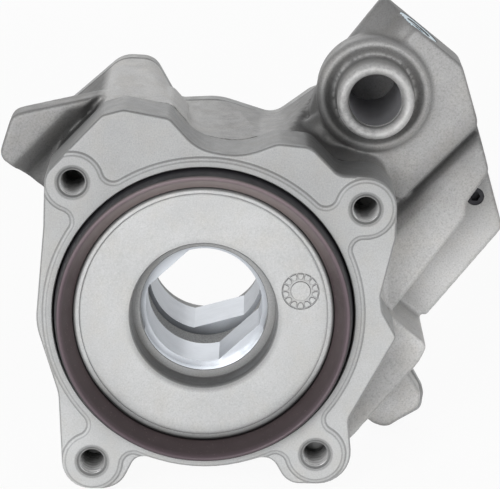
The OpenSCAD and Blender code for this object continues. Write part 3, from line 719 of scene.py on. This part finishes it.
def body_tones(f):
    """Painted shade darkens the skin round the snout, on the peak, in the valley and on the lug, a little at
    the foot.
    """
    # Painted shade over the peak, on the right
    right = f.curve(f.right(), (-6, 0), (6, 1))
    rise = f.curve(f.along((52, 0, 0), (0.35, 0, 1)),
                   (-40, 1), (0, 1), (10, 0.86), (18, 0.62), (27, 0.5), (46, 0.52), (54, 0.4), (66, 0.36))
    # Painted shadow along the valley beside the boss
    wing = f.curve(f.right(44), (-4, 0), (2, 1))
    valley = f.curve(f.along((52.0, 0, 29.2), (1, 0, -1)),
                     (-4.5, 1), (-1.5, 0.78), (1, 0.66), (3, 0.72), (7, 0.96), (9, 1), (20, 1))
    # Painted shade in the gully
    gully = f.curve(f.radius(*GULLY), (0, 0.36), (6, 0.42), (12, 0.95), (20, 1))
    # Painted shade at the foot
    foot = f.curve(f.radius(40, -22), (0, 0.74), (7, 0.76), (12, 1), (20, 1))
    # Painted shade on the lug, darkest by the flange
    upper_left = f.arithmetic("MULTIPLY", f.curve(f.up(12), (0, 0), (6, 1)),
                              f.curve(f.along((-22, 0, 0), (-1, 0, 0)), (-1, 0), (1, 1)))
    lug = f.curve(f.along((LUG_FOOT[0], 0, LUG_FOOT[1]), (-1, 0, 0.97)),
                  (-8, 0.26), (-2, 0.2), (0, 0.15), (2.5, 0.3), (6, 0.42), (20, 0.44))
    # Painted shade just inside the outlet's mouth
    inside = f.curve(f.radius(*SNOUT), (5.2, 1), (5.62, 1), (5.7, 0), (8, 0))
    deep = f.curve(f.behind(12), (0, 0.95), (5, 1), (30, 1))
    crest = f.curve(f.along((0, 0, 30), (-0.3, 0, 1)), (0, 0), (3, 1))
    seam = f.curve(f.along((0, BODY_REAR / MM, 0), (0, -1, 0)), (0, 0.5), (0.7, 0.5), (1.0, 1), (3, 1))
    return (f.mix(right, WHITE, rise), f.mix(wing, WHITE, valley), gully, foot, f.mix(upper_left, WHITE, lug),
            f.mix(inside, WHITE, deep), f.mix(crest, WHITE, seam))


def tip_wear(f, tint):
    """Where the snout's tip is worn bright: its share, and the bright colour."""
    near = f.curve(f.radius(*SNOUT), (5.7, 0), (5.9, 1), (8.6, 1), (9.4, 0), (12, 0))
    ahead = f.curve(f.behind(12), (0, 0.5), (1.2, 0.5), (4, 0.25), (9, 0), (12, 0))
    rough = f.span(f.noise(0.9, 3, 0.7), 0.55, 1, 0.4, 0.6)
    return f.arithmetic("MULTIPLY", f.arithmetic("MULTIPLY", near, ahead), rough), shade(tint, 0.9)


def land_outline(cover):
    """Outline of the raised land: the ring, a boss at each tapped hole, and hollow fillets."""
    ring, boss, fillet = cover.land_r / MM, cover.boss_land_r / MM, cover.fillet / MM
    ring_out, boss_out = ring + fillet, boss + fillet

    def side_angle(a, b, opposite):
        return math.acos((a * a + b * b - opposite * opposite) / (2 * a * b))

    taps = sorted(TAPS, key=lambda p: math.atan2(p[1], p[0]) % (2 * math.pi))
    turns = [math.atan2(z, x) % (2 * math.pi) for x, z in taps]
    halves = [side_angle(math.hypot(x, z), ring_out, boss_out) for x, z in taps]
    points = []
    for i, (x, z) in enumerate(taps):
        way, t, half = math.hypot(x, z), turns[i], halves[i]
        bend, round_boss = side_angle(ring_out, boss_out, way), side_angle(way, boss_out, ring_out)
        gap = (turns[(i + 1) % len(taps)] - t) % (2 * math.pi) - half - halves[(i + 1) % len(taps)]
        points += arc(ring_out * math.cos(t - half), ring_out * math.sin(t - half), fillet,
                      t - half + math.pi, -bend, 12)
        points += arc(x, z, boss, t + math.pi + round_boss, 2 * math.pi - 2 * round_boss, 40)[1:]
        points += arc(ring_out * math.cos(t + half), ring_out * math.sin(t + half), fillet,
                      t + half + math.pi + bend, -bend, 12)[1:]
        points += arc(0, 0, ring, t + half, gap, 40)[1:-1]
    return clockwise([(x * MM, z * MM) for x, z in points])


def rounded_edge(points, front, r):
    """Rings of a rounded front edge, as (depth, points)."""
    return [(front + r * (1 - math.cos(a)), grown(points, -r * (1 - math.sin(a))))
            for a in quarter(5)]


def soft_step(points, front, height):
    """Rings of a low land whose sides flow into the face around it, in two steps."""
    profile = [(0, -0.5), (0.07, -0.32), (0.26, -0.12), (0.36, 0.02), (0.42, 0.3), (0.5, 0.46),
               (0.74, 0.6), (0.92, 0.76), (1.12, 1.1)]
    return [(front + height * down, grown(points, out * MM)) for down, out in profile]


def thread_cutter(centre, cover, depth):
    """A tapped hole with its countersink, thread and drilled point."""
    r, groove, pitch = cover.tap_r, cover.thread, cover.pitch
    countersink = [(1.1, -1), (1.05, 0), (0.85, 0.08), (0.62, 0.1), (0.2, 0.5)]
    profile = [(0, -MM)] + [(r + out * MM, y * MM) for out, y in countersink]
    y = 0.6 * MM
    while y + pitch < depth:
        profile += [(r, y), (r, y + pitch * 0.2), (r + groove, y + pitch * 0.55),
                    (r + groove, y + pitch * 0.7)]
        y += pitch
    profile += [(r, y), (r, depth), (0, depth + 0.55 * r)]
    return turned("tap", profile, centre, segments=72)


def hollow_profile(cover):
    """Section of what is cut out of the cover on its axis: groove, rim and opening."""
    c = cover
    soft, chamfer, small, rim_depth = 0.75 * MM, 0.2 * MM, 0.15 * MM, 0.1 * MM
    profile = [(0, -2 * MM), (c.groove_r + chamfer, -2 * MM), (c.groove_r + chamfer, 0),
               (c.groove_r, chamfer), (c.groove_r, c.groove_depth), (c.disc_r, c.groove_depth)]
    profile += [(c.disc_r - soft * (1 - math.cos(a)), rim_depth + soft * (1 - math.sin(a)))
                for a in quarter(5)]
    profile += [(c.collar_r + c.shoulder * (1 - math.sin(a)), c.dish_low + c.shoulder * (1 - math.cos(a)))
                for a in quarter(6)]
    profile += [(c.collar_r, c.collar_depth - chamfer), (c.collar_r - chamfer, c.collar_depth),
                (c.hole_r + small, c.collar_depth), (c.hole_r, c.collar_depth + small),
                (c.hole_r, BODY_FRONT), (c.pilot_r, BODY_FRONT), (c.pilot_r, FLANGE_REAR + MM),
                (0, FLANGE_REAR + MM)]
    return profile


def disc_face(cover, z):
    """Depth of the disc's face at a height. The face leans, so that it meets its rim along the bottom."""
    inner = cover.disc_r - cover.rim
    return cover.dish_low + (cover.dish - cover.dish_low) * (z + inner) / (2 * inner)


def dish_cutter(cover):
    """What sinks the disc's face, with a fine groove along its edge."""
    inner = cover.disc_r - cover.rim
    edge = [(0.3, -2), (0.2, -0.4), (0.05, -0.28), (0, -0.1), (-0.04, 0.04), (-0.14, 0.1), (-0.28, 0.07),
            (-0.5, 0)]
    profile = [(0, -2 * MM)] + [(inner + out * MM, y * MM) for out, y in edge] + [(0, 0)]
    cutter = turned("dish", profile, segments=256)
    lean = math.atan((cover.dish - cover.dish_low) / (2 * inner))
    cutter.data.transform(Matrix.Translation((0, disc_face(cover, 0), 0)) @ Matrix.Rotation(-lean, 4, "X"))
    return cutter


class OILPUMP_OT_stage(bpy.types.Operator):
    """Set up the camera, the floor and the soft studio light"""
    bl_idname = "oilpump.stage"
    bl_label = "Studio"

    def execute(self, context):
        scene = context.scene
        settings = scene.oilpump_stage
        camera = bpy.data.objects.new("Camera", bpy.data.cameras.new("Camera"))
        camera.data.lens = CAMERA_LENS
        camera.data.sensor_width = CAMERA_SENSOR
        camera.data.clip_start = 0.01
        camera.location = CAMERA_PLACE
        camera.rotation_euler = (CAMERA_TILT, 0, 0)
        scene.collection.objects.link(camera)
        scene.camera = camera
        scene.view_settings.view_transform = "Standard"

        low, half = cad_box[0].z, FLOOR_HALF
        under = low - FLOOR_THICK
        section = [(-half, under), (-half, low), (half, low), (half, under)]
        floor = stacked("floor", [(-half, section), (half, section)])
        floor.data.materials.append(self.paper())

        def lamp(name, power, size, position):
            light = bpy.data.objects.new(name, bpy.data.lights.new(name, "AREA"))
            light.data.energy = power
            light.data.size = size
            light.location = position
            way = Vector(LAMP_AIM) - Vector(position)
            light.rotation_euler = way.to_track_quat("-Z", "Y").to_euler()
            scene.collection.objects.link(light)

        lamp("Key", settings.key, 0.5, (-0.38, -0.85, 0.24))
        lamp("Fill", settings.fill, 0.6, (0.62, -0.72, 0.24))
        lamp("Back", settings.back, 0.6, (-0.10, 0.90, 0.42))
        self.walls(scene, settings.sky, settings.ceiling)
        return {"FINISHED"}

    @staticmethod
    def seen_white(tree, shader, white_share):
        """White for the eye, for reflections and through glass, to this share, and the shader elsewhere."""
        path = tree.nodes.new("ShaderNodeLightPath")
        seen = path.outputs["Is Camera Ray"]
        for ray in ("Is Glossy Ray", "Is Transmission Ray"):
            either = tree.nodes.new("ShaderNodeMath")
            either.operation = "MAXIMUM"
            tree.links.new(seen, either.inputs[0])
            tree.links.new(path.outputs[ray], either.inputs[1])
            seen = either.outputs[0]
        share = tree.nodes.new("ShaderNodeMath")
        share.operation = "MULTIPLY"
        share.inputs[1].default_value = white_share
        tree.links.new(seen, share.inputs[0])
        white = tree.nodes.new("ShaderNodeEmission")
        mix = tree.nodes.new("ShaderNodeMixShader")
        tree.links.new(share.outputs[0], mix.inputs[0])
        tree.links.new(shader, mix.inputs[1])
        tree.links.new(white.outputs[0], mix.inputs[2])
        return mix.outputs[0]

    def paper(self):
        """The pale floor, which keeps the pump's shadow."""
        material = bpy.data.materials.new("paper")
        material.use_nodes = True
        tree = material.node_tree
        shader = tree.nodes["Principled BSDF"]
        shader.inputs["Base Color"].default_value = (0.9, 0.9, 0.9, 1)
        shader.inputs["Roughness"].default_value = 0.9
        output = tree.nodes["Material Output"]
        tree.links.new(self.seen_white(tree, shader.outputs[0], 0.93), output.inputs[0])
        return material

    def walls(self, scene, level, ceiling):
        """The studio's own light, weaker from overhead."""
        world = bpy.data.worlds.new("studio")
        world.use_nodes = True
        scene.world = world
        tree = world.node_tree
        light = tree.nodes["Background"]
        light.inputs["Color"].default_value = (1, 1, 1, 1)
        way = tree.nodes.new("ShaderNodeSeparateXYZ")
        tree.links.new(tree.nodes.new("ShaderNodeTexCoord").outputs["Generated"], way.inputs[0])
        fade = tree.nodes.new("ShaderNodeMapRange")
        for key, value in (("From Min", 0.1), ("From Max", 0.9), ("To Min", level), ("To Max", ceiling)):
            fade.inputs[key].default_value = value
        tree.links.new(way.outputs["Z"], fade.inputs["Value"])
        tree.links.new(fade.outputs["Result"], light.inputs["Strength"])
        tree.links.new(self.seen_white(tree, light.outputs[0], 1), tree.nodes["World Output"].inputs[0])


class OILPUMP_OT_front_cover(bpy.types.Operator):
    """Make the front cover: flange, land, seal groove, dished disc and tapped holes"""
    bl_idname = "oilpump.front_cover"
    bl_label = "Front Cover"

    def execute(self, context):
        cover = context.scene.oilpump_cover
        flange = outline(FLANGE)
        chamfer, root = 0.15 * MM, 3 * MM
        rings = rounded_edge(flange, cover.land_height, cover.edge)
        rings += [(FLANGE_REAR - chamfer, flange), (FLANGE_REAR, grown(flange, -chamfer))]
        piece = stacked("front_cover_casting", rings)

        raised = soft_step(land_outline(cover), 0, cover.land_height)
        top = stacked("land", raised + [(root, raised[-1][1])])
        edge = rounded_edge(grown(flange, -0.1 * MM), 0, 0.5 * MM)
        limit = stacked("limit", edge + [(root, edge[-1][1])])
        combine(top, "INTERSECT", limit)
        combine(piece, "UNION", top)

        cuts = [turned("hollow", hollow_profile(cover), segments=256), dish_cutter(cover)]
        cuts += [thread_cutter(place(*tap), cover, depth * MM) for tap, depth in zip(TAPS, TAP_DEPTHS)]
        cuts += [cylinder("screw_hole", place(*spot), SCREW_TAP_R, FLANGE_REAR - SCREW_TAP_DEPTH,
                          FLANGE_REAR + MM) for spot in SCREWS]
        combine(piece, "DIFFERENCE", *cuts)
        self.dial(piece, cover)
        shaded(piece)
        colours = context.scene.oilpump_colours
        casting = cast_finish("cover casting", colours.cover, tones=cover_tones)
        dress(piece, "housing", "front_casting", casting, "front_cover")
        opening, shelf, polished_below = cover.hole_r / MM, cover.collar_depth / MM + 0.1, -5
        zone(piece, machined_finish("polished bore", colours.polished, roughness=0.12, lines=0.1, shadow=1),
             lambda x, y, z: y > shelf and z < polished_below and on_wall(x, z, opening))
        bore, skin = (cover.tap_r + cover.thread) / MM + 0.05, 0.45
        zone(piece, thread_finish("cut thread", colours.machined),
             lambda x, y, z: y > skin and any(math.hypot(x - tx, z - tz) < bore for tx, tz in TAPS))
        return {"FINISHED"}

    @staticmethod
    def dial(piece, cover):
        """A plain casting dial: a sunk ring with raised tabs round a raised, blank centre."""
        centre = place(*DIAL)
        face, sink, tabs = disc_face(cover, centre[1]), 0.3 * MM, 14
        inner, outer = 2.0 * MM, 4.1 * MM
        combine(piece, "DIFFERENCE", turned("ring", [
            (inner, face - MM), (outer, face - MM), (outer - 0.1 * MM, face + sink),
            (inner + 0.12 * MM, face + sink), (inner, face + 0.4 * sink)], centre, segments=96))
        tab = outline([(2.55, -0.3, 0.28), (2.55, 0.3, 0.28), (3.1, 0.58, 0.1), (3.72, 0.64, 0.12),
                       (3.72, -0.64, 0.12), (3.1, -0.58, 0.1)], steps=3)
        for k in range(tabs):
            turn = Matrix.Rotation(2 * math.pi * (k + 0.5) / tabs, 2)
            points = [turn @ Vector(p) for p in tab]
            points = clockwise([(centre[0] + p.x, centre[1] + p.y) for p in points])
            rings = [(face + 0.02 * MM, grown(points, -0.08 * MM)), (face + 0.1 * MM, points),
                     (face + sink + 0.2 * MM, grown(points, 0.04 * MM))]
            combine(piece, "UNION", stacked("tab", rings))


class OILPUMP_OT_face_seal(bpy.types.Operator):
    """Make the face seal, a ring of brown elastomer with a rounded crest"""
    bl_idname = "oilpump.face_seal"
    bl_label = "Face Seal"

    def execute(self, context):
        cover = context.scene.oilpump_cover
        out, crest = SEAL_OUT, SEAL_CREST
        inside = cover.disc_r + 0.1 * MM
        rear = cover.groove_depth - 0.05 * MM
        bead = [(0.75, 0.75), (0.9, 0.3), (1.15, 0.04), (1.35, 0), (1.6, 0.08), (1.85, 0.34), (2.05, 0.75)]
        profile = [(inside, rear), (out, rear), (out, 1.2 * MM), (out - 0.25 * MM, 0.6 * MM)]
        profile += [(out - inwards * MM, crest + down * MM) for inwards, down in bead]
        profile += [(inside + 0.6 * MM, -0.35 * MM), (inside + 0.15 * MM, 0.15 * MM), (inside, 0.6 * MM)]
        piece = turned("face_seal_ring", profile, segments=256)
        shaded(piece, degrees=24)
        tint = context.scene.oilpump_colours.seal
        rubber = elastomer_finish("face seal", tint, roughness=0.45, tones=seal_tones)
        dress(piece, "housing", "seal_elastomer", rubber, "face_seal")
        return {"FINISHED"}


def relief_frame(body):
    """The transform that lays a piece made along Y, from the origin, along the relief bore."""
    way = Vector((math.cos(RELIEF_ANGLE), 0, math.sin(RELIEF_ANGLE)))
    across = Vector((-math.sin(RELIEF_ANGLE), 0, math.cos(RELIEF_ANGLE)))
    start = Vector((SNOUT[0] * MM, body.relief_depth, SNOUT[1] * MM)) + across * body.relief_shift
    return Matrix.Translation(start) @ way.to_track_quat("Y", "Z").to_matrix().to_4x4()


def spout_profile(body):
    """Section of the turned snout: a full lip, a straight wall and a foot sunk in its recess."""
    tip, r = body.snout_tip, body.snout_r
    inner, crown = body.snout_bore_r + 0.2 * MM, (body.snout_bore_r + r) / 2 + 0.25 * MM
    foot, end = body.boss_face + body.recess_depth, 30 * MM
    profile = [(0, tip + 3 * MM), (inner, tip + 3 * MM)]
    profile += [(crown + (inner - crown) * math.cos(a), tip + 1.7 * MM * (1 - math.sin(a)))
                for a in quarter(7)]
    profile += [(crown + (r - crown) * math.sin(a), tip + 1.35 * MM * (1 - math.cos(a)))
                for a in quarter(6)[1:]]
    return profile + [(r, foot - 1.2 * MM), (r - 0.3 * MM, foot + MM), (r - 0.3 * MM, end), (0, end)]


def relief_cutter(body):
    """The relief bore, its wider plug bore and the spot face."""
    seat, outside = body.relief_reach - SPOT_SINK, body.relief_reach + 6 * MM
    cutter = turned("relief", [
        (0, RELIEF_START), (RELIEF_R, RELIEF_START), (RELIEF_R, PLUG_START), (PLUG_R, PLUG_START),
        (PLUG_R, seat), (body.spot_r, seat), (body.spot_r, outside), (0, outside)], segments=96)
    cutter.data.transform(relief_frame(body))
    return cutter


class OILPUMP_OT_pump_body(bpy.types.Operator):
    """Make the body: the model's form cast with soft edges, then faced, bored and turned"""
    bl_idname = "oilpump.pump_body"
    bl_label = "Pump Body"

    def execute(self, context):
        body = context.scene.oilpump_body
        piece = new_piece("pump_body_casting", self.pattern())
        combine(piece, "UNION", *self.fillings(body), *self.lumps())
        combine(piece, "DIFFERENCE", self.lug_valley())
        self.cast(piece, body.grain)
        self.machine(piece, body)
        shaded(piece, degrees=40)
        colours = context.scene.oilpump_colours
        casting = cast_finish("body casting", colours.body, grain=0.38, speck=0.66, tones=body_tones,
                              worn=True, reach=8, soft=0.88)
        dress(piece, "housing", "body_casting", casting, "pump_body")
        way = relief_frame(body).inverted()
        seat = body.relief_reach - SPOT_SINK

        def on_spot_face(x, y, z):
            at = way @ Vector((x * MM, y * MM, z * MM))
            return abs(at.y - seat) < 0.05 * MM and math.hypot(at.x, at.z) < body.spot_r

        web, bore, bored_from = body.web_r / MM, body.snout_bore_r / MM, 14
        zone(piece, machined_finish("bored outlet", (0.5, 0.5, 0.52), roughness=0.45, shadow=0.9, metal=0.7),
             lambda x, y, z: y > bored_from and on_wall(x, z, bore, SNOUT))
        zone(piece, machined_finish("spot face", shade(colours.plug, 0.85), roughness=0.4), on_spot_face)
        zone(piece, blasted_finish("blasted web", (0.36, 0.36, 0.355)),
             lambda x, y, z: on_wall(x, z, web))
        return {"FINISHED"}

    @staticmethod
    def pattern():
        """The model's solid, with its joint faces moved out, so that they can be faced off later."""
        bm = bmesh.new()
        bm.from_mesh(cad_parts["pump_body"].data)
        bmesh.ops.remove_doubles(bm, verts=bm.verts, dist=1e-6)
        for depth, move in ((FLANGE_REAR, -STOCK), (BODY_REAR, STOCK)):
            flat = [f for f in bm.faces if all(abs(v.co.y - depth) < 1e-5 for v in f.verts)]
            made = bmesh.ops.extrude_face_region(bm, geom=flat)["geom"]
            corners = [v for v in made if isinstance(v, bmesh.types.BMVert)]
            bmesh.ops.translate(bm, verts=corners, vec=(0, move, 0))
            bmesh.ops.delete(bm, geom=flat, context="FACES")
        bmesh.ops.recalc_face_normals(bm, faces=bm.faces)
        mesh = bpy.data.meshes.new("pattern")
        bm.to_mesh(mesh)
        bm.free()
        return mesh

    @staticmethod
    def fillings(body):
        """Plugs for every machined hole, each a little wider than its hole."""
        front, rear = FLANGE_REAR - FILLING_STOCK, BODY_REAR + FILLING_STOCK
        cavity_r, passage_r, relief_r = 30 * MM, 2.4 * MM, 5.4 * MM
        screw_r, cover_screw_r = 3 * MM, 2.8 * MM
        plugs = [cylinder("filling", (0, 0), cavity_r, front, rear, segments=96),
                 cylinder("filling", place(*SNOUT), body.snout_r, body.snout_tip + 1.5 * MM,
                          OUTLET_POINT + 1.5 * MM),
                 cylinder("filling", place(*PASSAGE_PLUG), passage_r, PASSAGE_FRONT + MM,
                          PASSAGE_REAR + 2.2 * MM)]
        plugs += [cylinder("filling", place(*spot), screw_r, front, rear) for spot in SCREWS]
        plugs += [cylinder("filling", place(*spot), cover_screw_r, BODY_REAR - COVER_SCREW_DEPTH, rear)
                  for spot in COVER_SCREWS]
        relief = cylinder("filling", (0, 0), relief_r, RELIEF_START - MM, body.relief_reach)
        relief.data.transform(relief_frame(body))
        return plugs + [relief]

    @staticmethod
    def lumps():
        """Cast forms too small for the model: the ridge round the snout and the upper lobe's flank."""
        section = [(7.5, 24), (7.5, 21.3), (8.4, 21.3), (9.4, 20.9), (10.2, 20.2), (10.7, 19.75),
                   (11.2, 19.7), (11.9, 20.1), (12.5, 20.9), (12.5, 24)]
        ridge = turned("ridge", [place(*point) for point in section], place(*SNOUT), segments=96)
        flank = outline([(-21, 41, 2), (-7.0, 42.7, 1.5), (-2.6, 37.6, 1.5), (-8, 34, 2), (-21, 34, 2)])
        flank = clockwise(flank)
        rings = [(FLANGE_REAR - FILLING_STOCK, flank), (35 * MM, flank), (37.5 * MM, grown(flank, -1.2 * MM))]
        return [ridge, stacked("flank", rings)]

    @staticmethod
    def lug_valley():
        """The valley between the flange's upper left edge and its lug, deepest along the flange."""
        foot_x, foot_z = LUG_FOOT
        right, up = 0.698, 0.716

        def strip(width):
            """The valley's outline at one depth, with corners along and away from the flange's edge."""
            corners = ((-9, -6), (0, -1.6), (3.5, -0.15), (14.5, -0.15), (12.6, width * 0.6), (10, width),
                       (-9, width))
            return clockwise(place(foot_x + right * s - up * d, foot_z + up * s + right * d)
                             for s, d in corners)

        return stacked("valley", [(FLANGE_REAR - 3 * MM, strip(5.2)), (LUG_FRONT - 0.1 * MM, strip(4.4)),
                                  (LUG_FRONT + 3 * MM, strip(0.3))])

    @staticmethod
    def cast(piece, grain):
        """Rounds every edge as casting and blasting do, then thins the mesh."""
        remesh = piece.modifiers.new("Cast", "REMESH")
        remesh.mode = "VOXEL"
        remesh.voxel_size = grain
        smooth = piece.modifiers.new("Soften", "SMOOTH")
        smooth.factor = 0.5
        smooth.iterations = 14
        thin = piece.modifiers.new("Thin", "DECIMATE")
        thin.ratio = 0.35
        settle(piece)

    @staticmethod
    def machine(piece, body):
        """Faces the joints and cuts the bores, with the snout and the pilot turned in place."""
        def plate(front, rear, half=0.1):
            square = [(-half, -half), (-half, half), (half, half), (half, -half)]
            return stacked("face", [(front, square), (rear, square)])

        snout, rotors = place(*SNOUT), (ROTOR_X, 0)
        combine(piece, "DIFFERENCE", plate(-0.05, FLANGE_REAR), plate(BODY_REAR, 0.1))
        combine(piece, "UNION", turned("spout", spout_profile(body), snout, segments=128),
                cylinder("pilot", (0, 0), PILOT_R, BODY_FRONT, FLANGE_REAR + MM, segments=128))
        start, bore_r = body.snout_tip - MM, body.snout_bore_r
        outlet = [(0, start), (bore_r, start), (bore_r, OUTLET_END), (0, OUTLET_POINT)]
        cuts = [turned("outlet", outlet, snout, segments=128), relief_cutter(body),
                cylinder("plug_hole", place(*PASSAGE_PLUG), PASSAGE_R, PASSAGE_FRONT, PASSAGE_REAR),
                cylinder("feed_pocket", rotors, POCKET_R, BODY_FRONT - MM, FEED_FLOOR, segments=160),
                cylinder("rear_pocket", rotors, POCKET_R, PLATE_FRONT, BODY_REAR + MM, segments=160),
                cylinder("web_hole", (0, 0), body.web_r, BODY_FRONT, BODY_REAR, segments=160)]
        combine(piece, "DIFFERENCE", *cuts)


class OILPUMP_OT_rear_cover(bpy.types.Operator):
    """Make the rear cover plate with its cast edge and its bore"""
    bl_idname = "oilpump.rear_cover"
    bl_label = "Rear Cover"

    def execute(self, context):
        points = outline(REAR_COVER)
        edge, lip, chamfer = 0.7 * MM, 0.3 * MM, 0.12 * MM
        rings = [(BODY_REAR, grown(points, -chamfer)), (BODY_REAR + chamfer, points)]
        rings += [(COVER_REAR - edge * (1 - math.sin(a)), grown(points, -edge * (1 - math.cos(a))))
                  for a in quarter(5)]
        piece = stacked("rear_cover_casting", rings)
        front, rear = BODY_REAR - MM, COVER_REAR + MM
        bore = [(0, front), (REAR_BORE_R, front), (REAR_BORE_R, COVER_REAR - lip),
                (REAR_BORE_R + lip, COVER_REAR), (REAR_BORE_R + lip, rear), (0, rear)]
        holes = [cylinder("hole", place(*spot), SCREW_HOLE_R, front, rear) for spot in SCREWS + COVER_SCREWS]
        combine(piece, "DIFFERENCE", turned("bore", bore, segments=160), *holes)
        shaded(piece)
        casting = cast_finish("rear casting", shade(context.scene.oilpump_colours.cover, 0.95))
        dress(piece, "housing", "rear_casting", casting, "rear_cover")
        return {"FINISHED"}


def refinish(node, finish):
    """Gives a model node another material in place of its own."""
    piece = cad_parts[node]
    for slot in piece.material_slots:
        slot.material = finish


class OILPUMP_OT_rotors(bpy.types.Operator):
    """Finish the four rotors and the separator plate in ground steel"""
    bl_idname = "oilpump.rotors"
    bl_label = "Rotors"

    def execute(self, context):
        tint = context.scene.oilpump_colours.rotor
        ground = machined_finish("ground rotor steel", tint, roughness=0.4, shadow=0.25, metal=0.7)
        # Painted shade: a darker copy of the ground steel for the scavenge rotor, which lies deeper inside
        shadowed = machined_finish("dull rotor steel", shade(tint, 0.9), roughness=0.42, shadow=0.2, metal=0.6)
        for node in ("feed_outer_rotor", "scavenge_outer_rotor"):
            refinish(node, ground)
        self.inner_rotor("feed", FEED_TURN, ground)
        self.inner_rotor("scavenge", SCAVENGE_TURN, shadowed)
        self.separator_plate(context.scene.oilpump_body.web_r)
        return {"FINISHED"}

    @staticmethod
    def inner_rotor(pump, turn, finish):
        """The model's inner rotor, with its bore opened out to the crank's full round between the flats."""
        node = f"{pump}_inner_rotor"
        piece = new_piece(f"{pump}_rotor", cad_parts[node].data.copy())
        low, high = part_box(node)
        opening = cylinder("opening", (0, 0), ROTOR_BORE_R, low.y - MM, high.y + MM, segments=160)
        half, flat = 20 * MM, CRANK_FLAT
        across = [(-half, -flat), (-half, flat), (half, flat), (half, -flat)]
        slab = stacked("slab", [(low.y - 2 * MM, across), (high.y + 2 * MM, across)])
        slab.data.transform(Matrix.Rotation(-turn, 4, "Y"))
        combine(piece, "DIFFERENCE", combine(opening, "INTERSECT", slab))
        shaded(piece)
        dress(piece, f"{pump}_inner", "rotor_steel", finish, node)

    @staticmethod
    def separator_plate(web_r):
        """The model's plate, with its bore drawn in to the web's."""
        plate = new_piece("separator_plate_ring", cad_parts["separator_plate"].data.copy())
        edge = 0.1 * MM
        rim = [(web_r, PLATE_FRONT + edge), (web_r + edge, PLATE_FRONT), (PLATE_RIM_R, PLATE_FRONT),
               (PLATE_RIM_R, PLATE_REAR), (web_r + edge, PLATE_REAR), (web_r, PLATE_REAR - edge)]
        combine(plate, "UNION", turned("rim", rim))
        shaded(plate)
        steel = machined_finish("ground plate steel", (0.62, 0.61, 0.60), roughness=0.3)
        dress(plate, "housing", "plate_steel", steel, "separator_plate")


class OILPUMP_OT_relief_valve(bpy.types.Operator):
    """Finish the relief valve: plunger, spring, plug and its copper ring"""
    bl_idname = "oilpump.relief_valve"
    bl_label = "Relief Valve"

    def execute(self, context):
        colours = context.scene.oilpump_colours
        refinish("relief_plug", machined_finish("plated plug steel", colours.plug, roughness=0.3))
        valve = machined_finish("valve steel", (0.55, 0.56, 0.58), roughness=0.25)
        for node in ("relief_plunger", "front_dowels", "rear_dowels"):
            refinish(node, valve)
        self.spring(context.scene.oilpump_body, valve)
        refinish("plug_seal", machined_finish("copper ring", (0.72, 0.36, 0.2), roughness=0.35))
        return {"FINISHED"}

    @staticmethod
    def spring(body, finish):
        """The relief spring, a copy of the model's spring in the valve's steel."""
        bore = relief_frame(body)
        piece = new_piece("relief_spring_coil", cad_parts["relief_spring"].data.copy())
        dress(piece, "housing", "valve_steel", finish, "relief_spring")
        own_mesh(piece)


class OILPUMP_OT_o_rings(bpy.types.Operator):
    """Finish the two O-rings in the joints"""
    bl_idname = "oilpump.o_rings"
    bl_label = "O-Rings"

    def execute(self, context):
        rubber = elastomer_finish("o-ring rubber", (0.02, 0.02, 0.022), roughness=0.5)
        for node in ("pilot_seal", "cover_seal"):
            refinish(node, rubber)
        return {"FINISHED"}


class OILPUMP_OT_fasteners(bpy.types.Operator):
    """Finish the screws and the small passage plug in blackened steel"""
    bl_idname = "oilpump.fasteners"
    bl_label = "Fasteners"

    def execute(self, context):
        dark = dark_steel_finish("blackened steel", context.scene.oilpump_colours.dark)
        for node in ("assembly_screws", "cover_screws", "passage_plug"):
            refinish(node, dark)
        return {"FINISHED"}


OPERATORS = (
    OILPUMP_OT_stage, OILPUMP_OT_front_cover, OILPUMP_OT_face_seal, OILPUMP_OT_pump_body,
    OILPUMP_OT_rear_cover, OILPUMP_OT_rotors, OILPUMP_OT_relief_valve, OILPUMP_OT_o_rings,
    OILPUMP_OT_fasteners,
)


class OILPUMP_PT_panel(bpy.types.Panel):
    """Lists the pump's pieces in the order in which they are made"""
    bl_idname = "OILPUMP_PT_panel"
    bl_label = "Oil Pump"
    bl_space_type = "VIEW_3D"
    bl_region_type = "UI"
    bl_category = "Oil Pump"

    def draw(self, context):
        for operator in OPERATORS:
            self.layout.operator(operator.bl_idname)
        for group in GROUPS:
            box = self.layout.box()
            settings = getattr(context.scene, group)
            for name in settings.bl_rna.properties.keys():
                if name not in ("rna_type", "name"):
                    box.prop(settings, name)


GROUPS = {
    "oilpump_cover": PumpCover, "oilpump_body": PumpBody,
    "oilpump_colours": PumpColours, "oilpump_stage": PumpStage,
}
CLASSES = (*GROUPS.values(), *OPERATORS, OILPUMP_PT_panel)


def register():
    for cls in CLASSES:
        bpy.utils.register_class(cls)
    for name, group in GROUPS.items():
        setattr(bpy.types.Scene, name, bpy.props.PointerProperty(type=group))


def unregister():
    for name in GROUPS:
        delattr(bpy.types.Scene, name)
    for cls in reversed(CLASSES):
        bpy.utils.unregister_class(cls)


def main():
    """Makes the pump and its studio."""
    register()
    for operator in OPERATORS:
        group, name = operator.bl_idname.split(".")
        getattr(getattr(bpy.ops, group), name)()


if __name__ == "__main__":
    main()
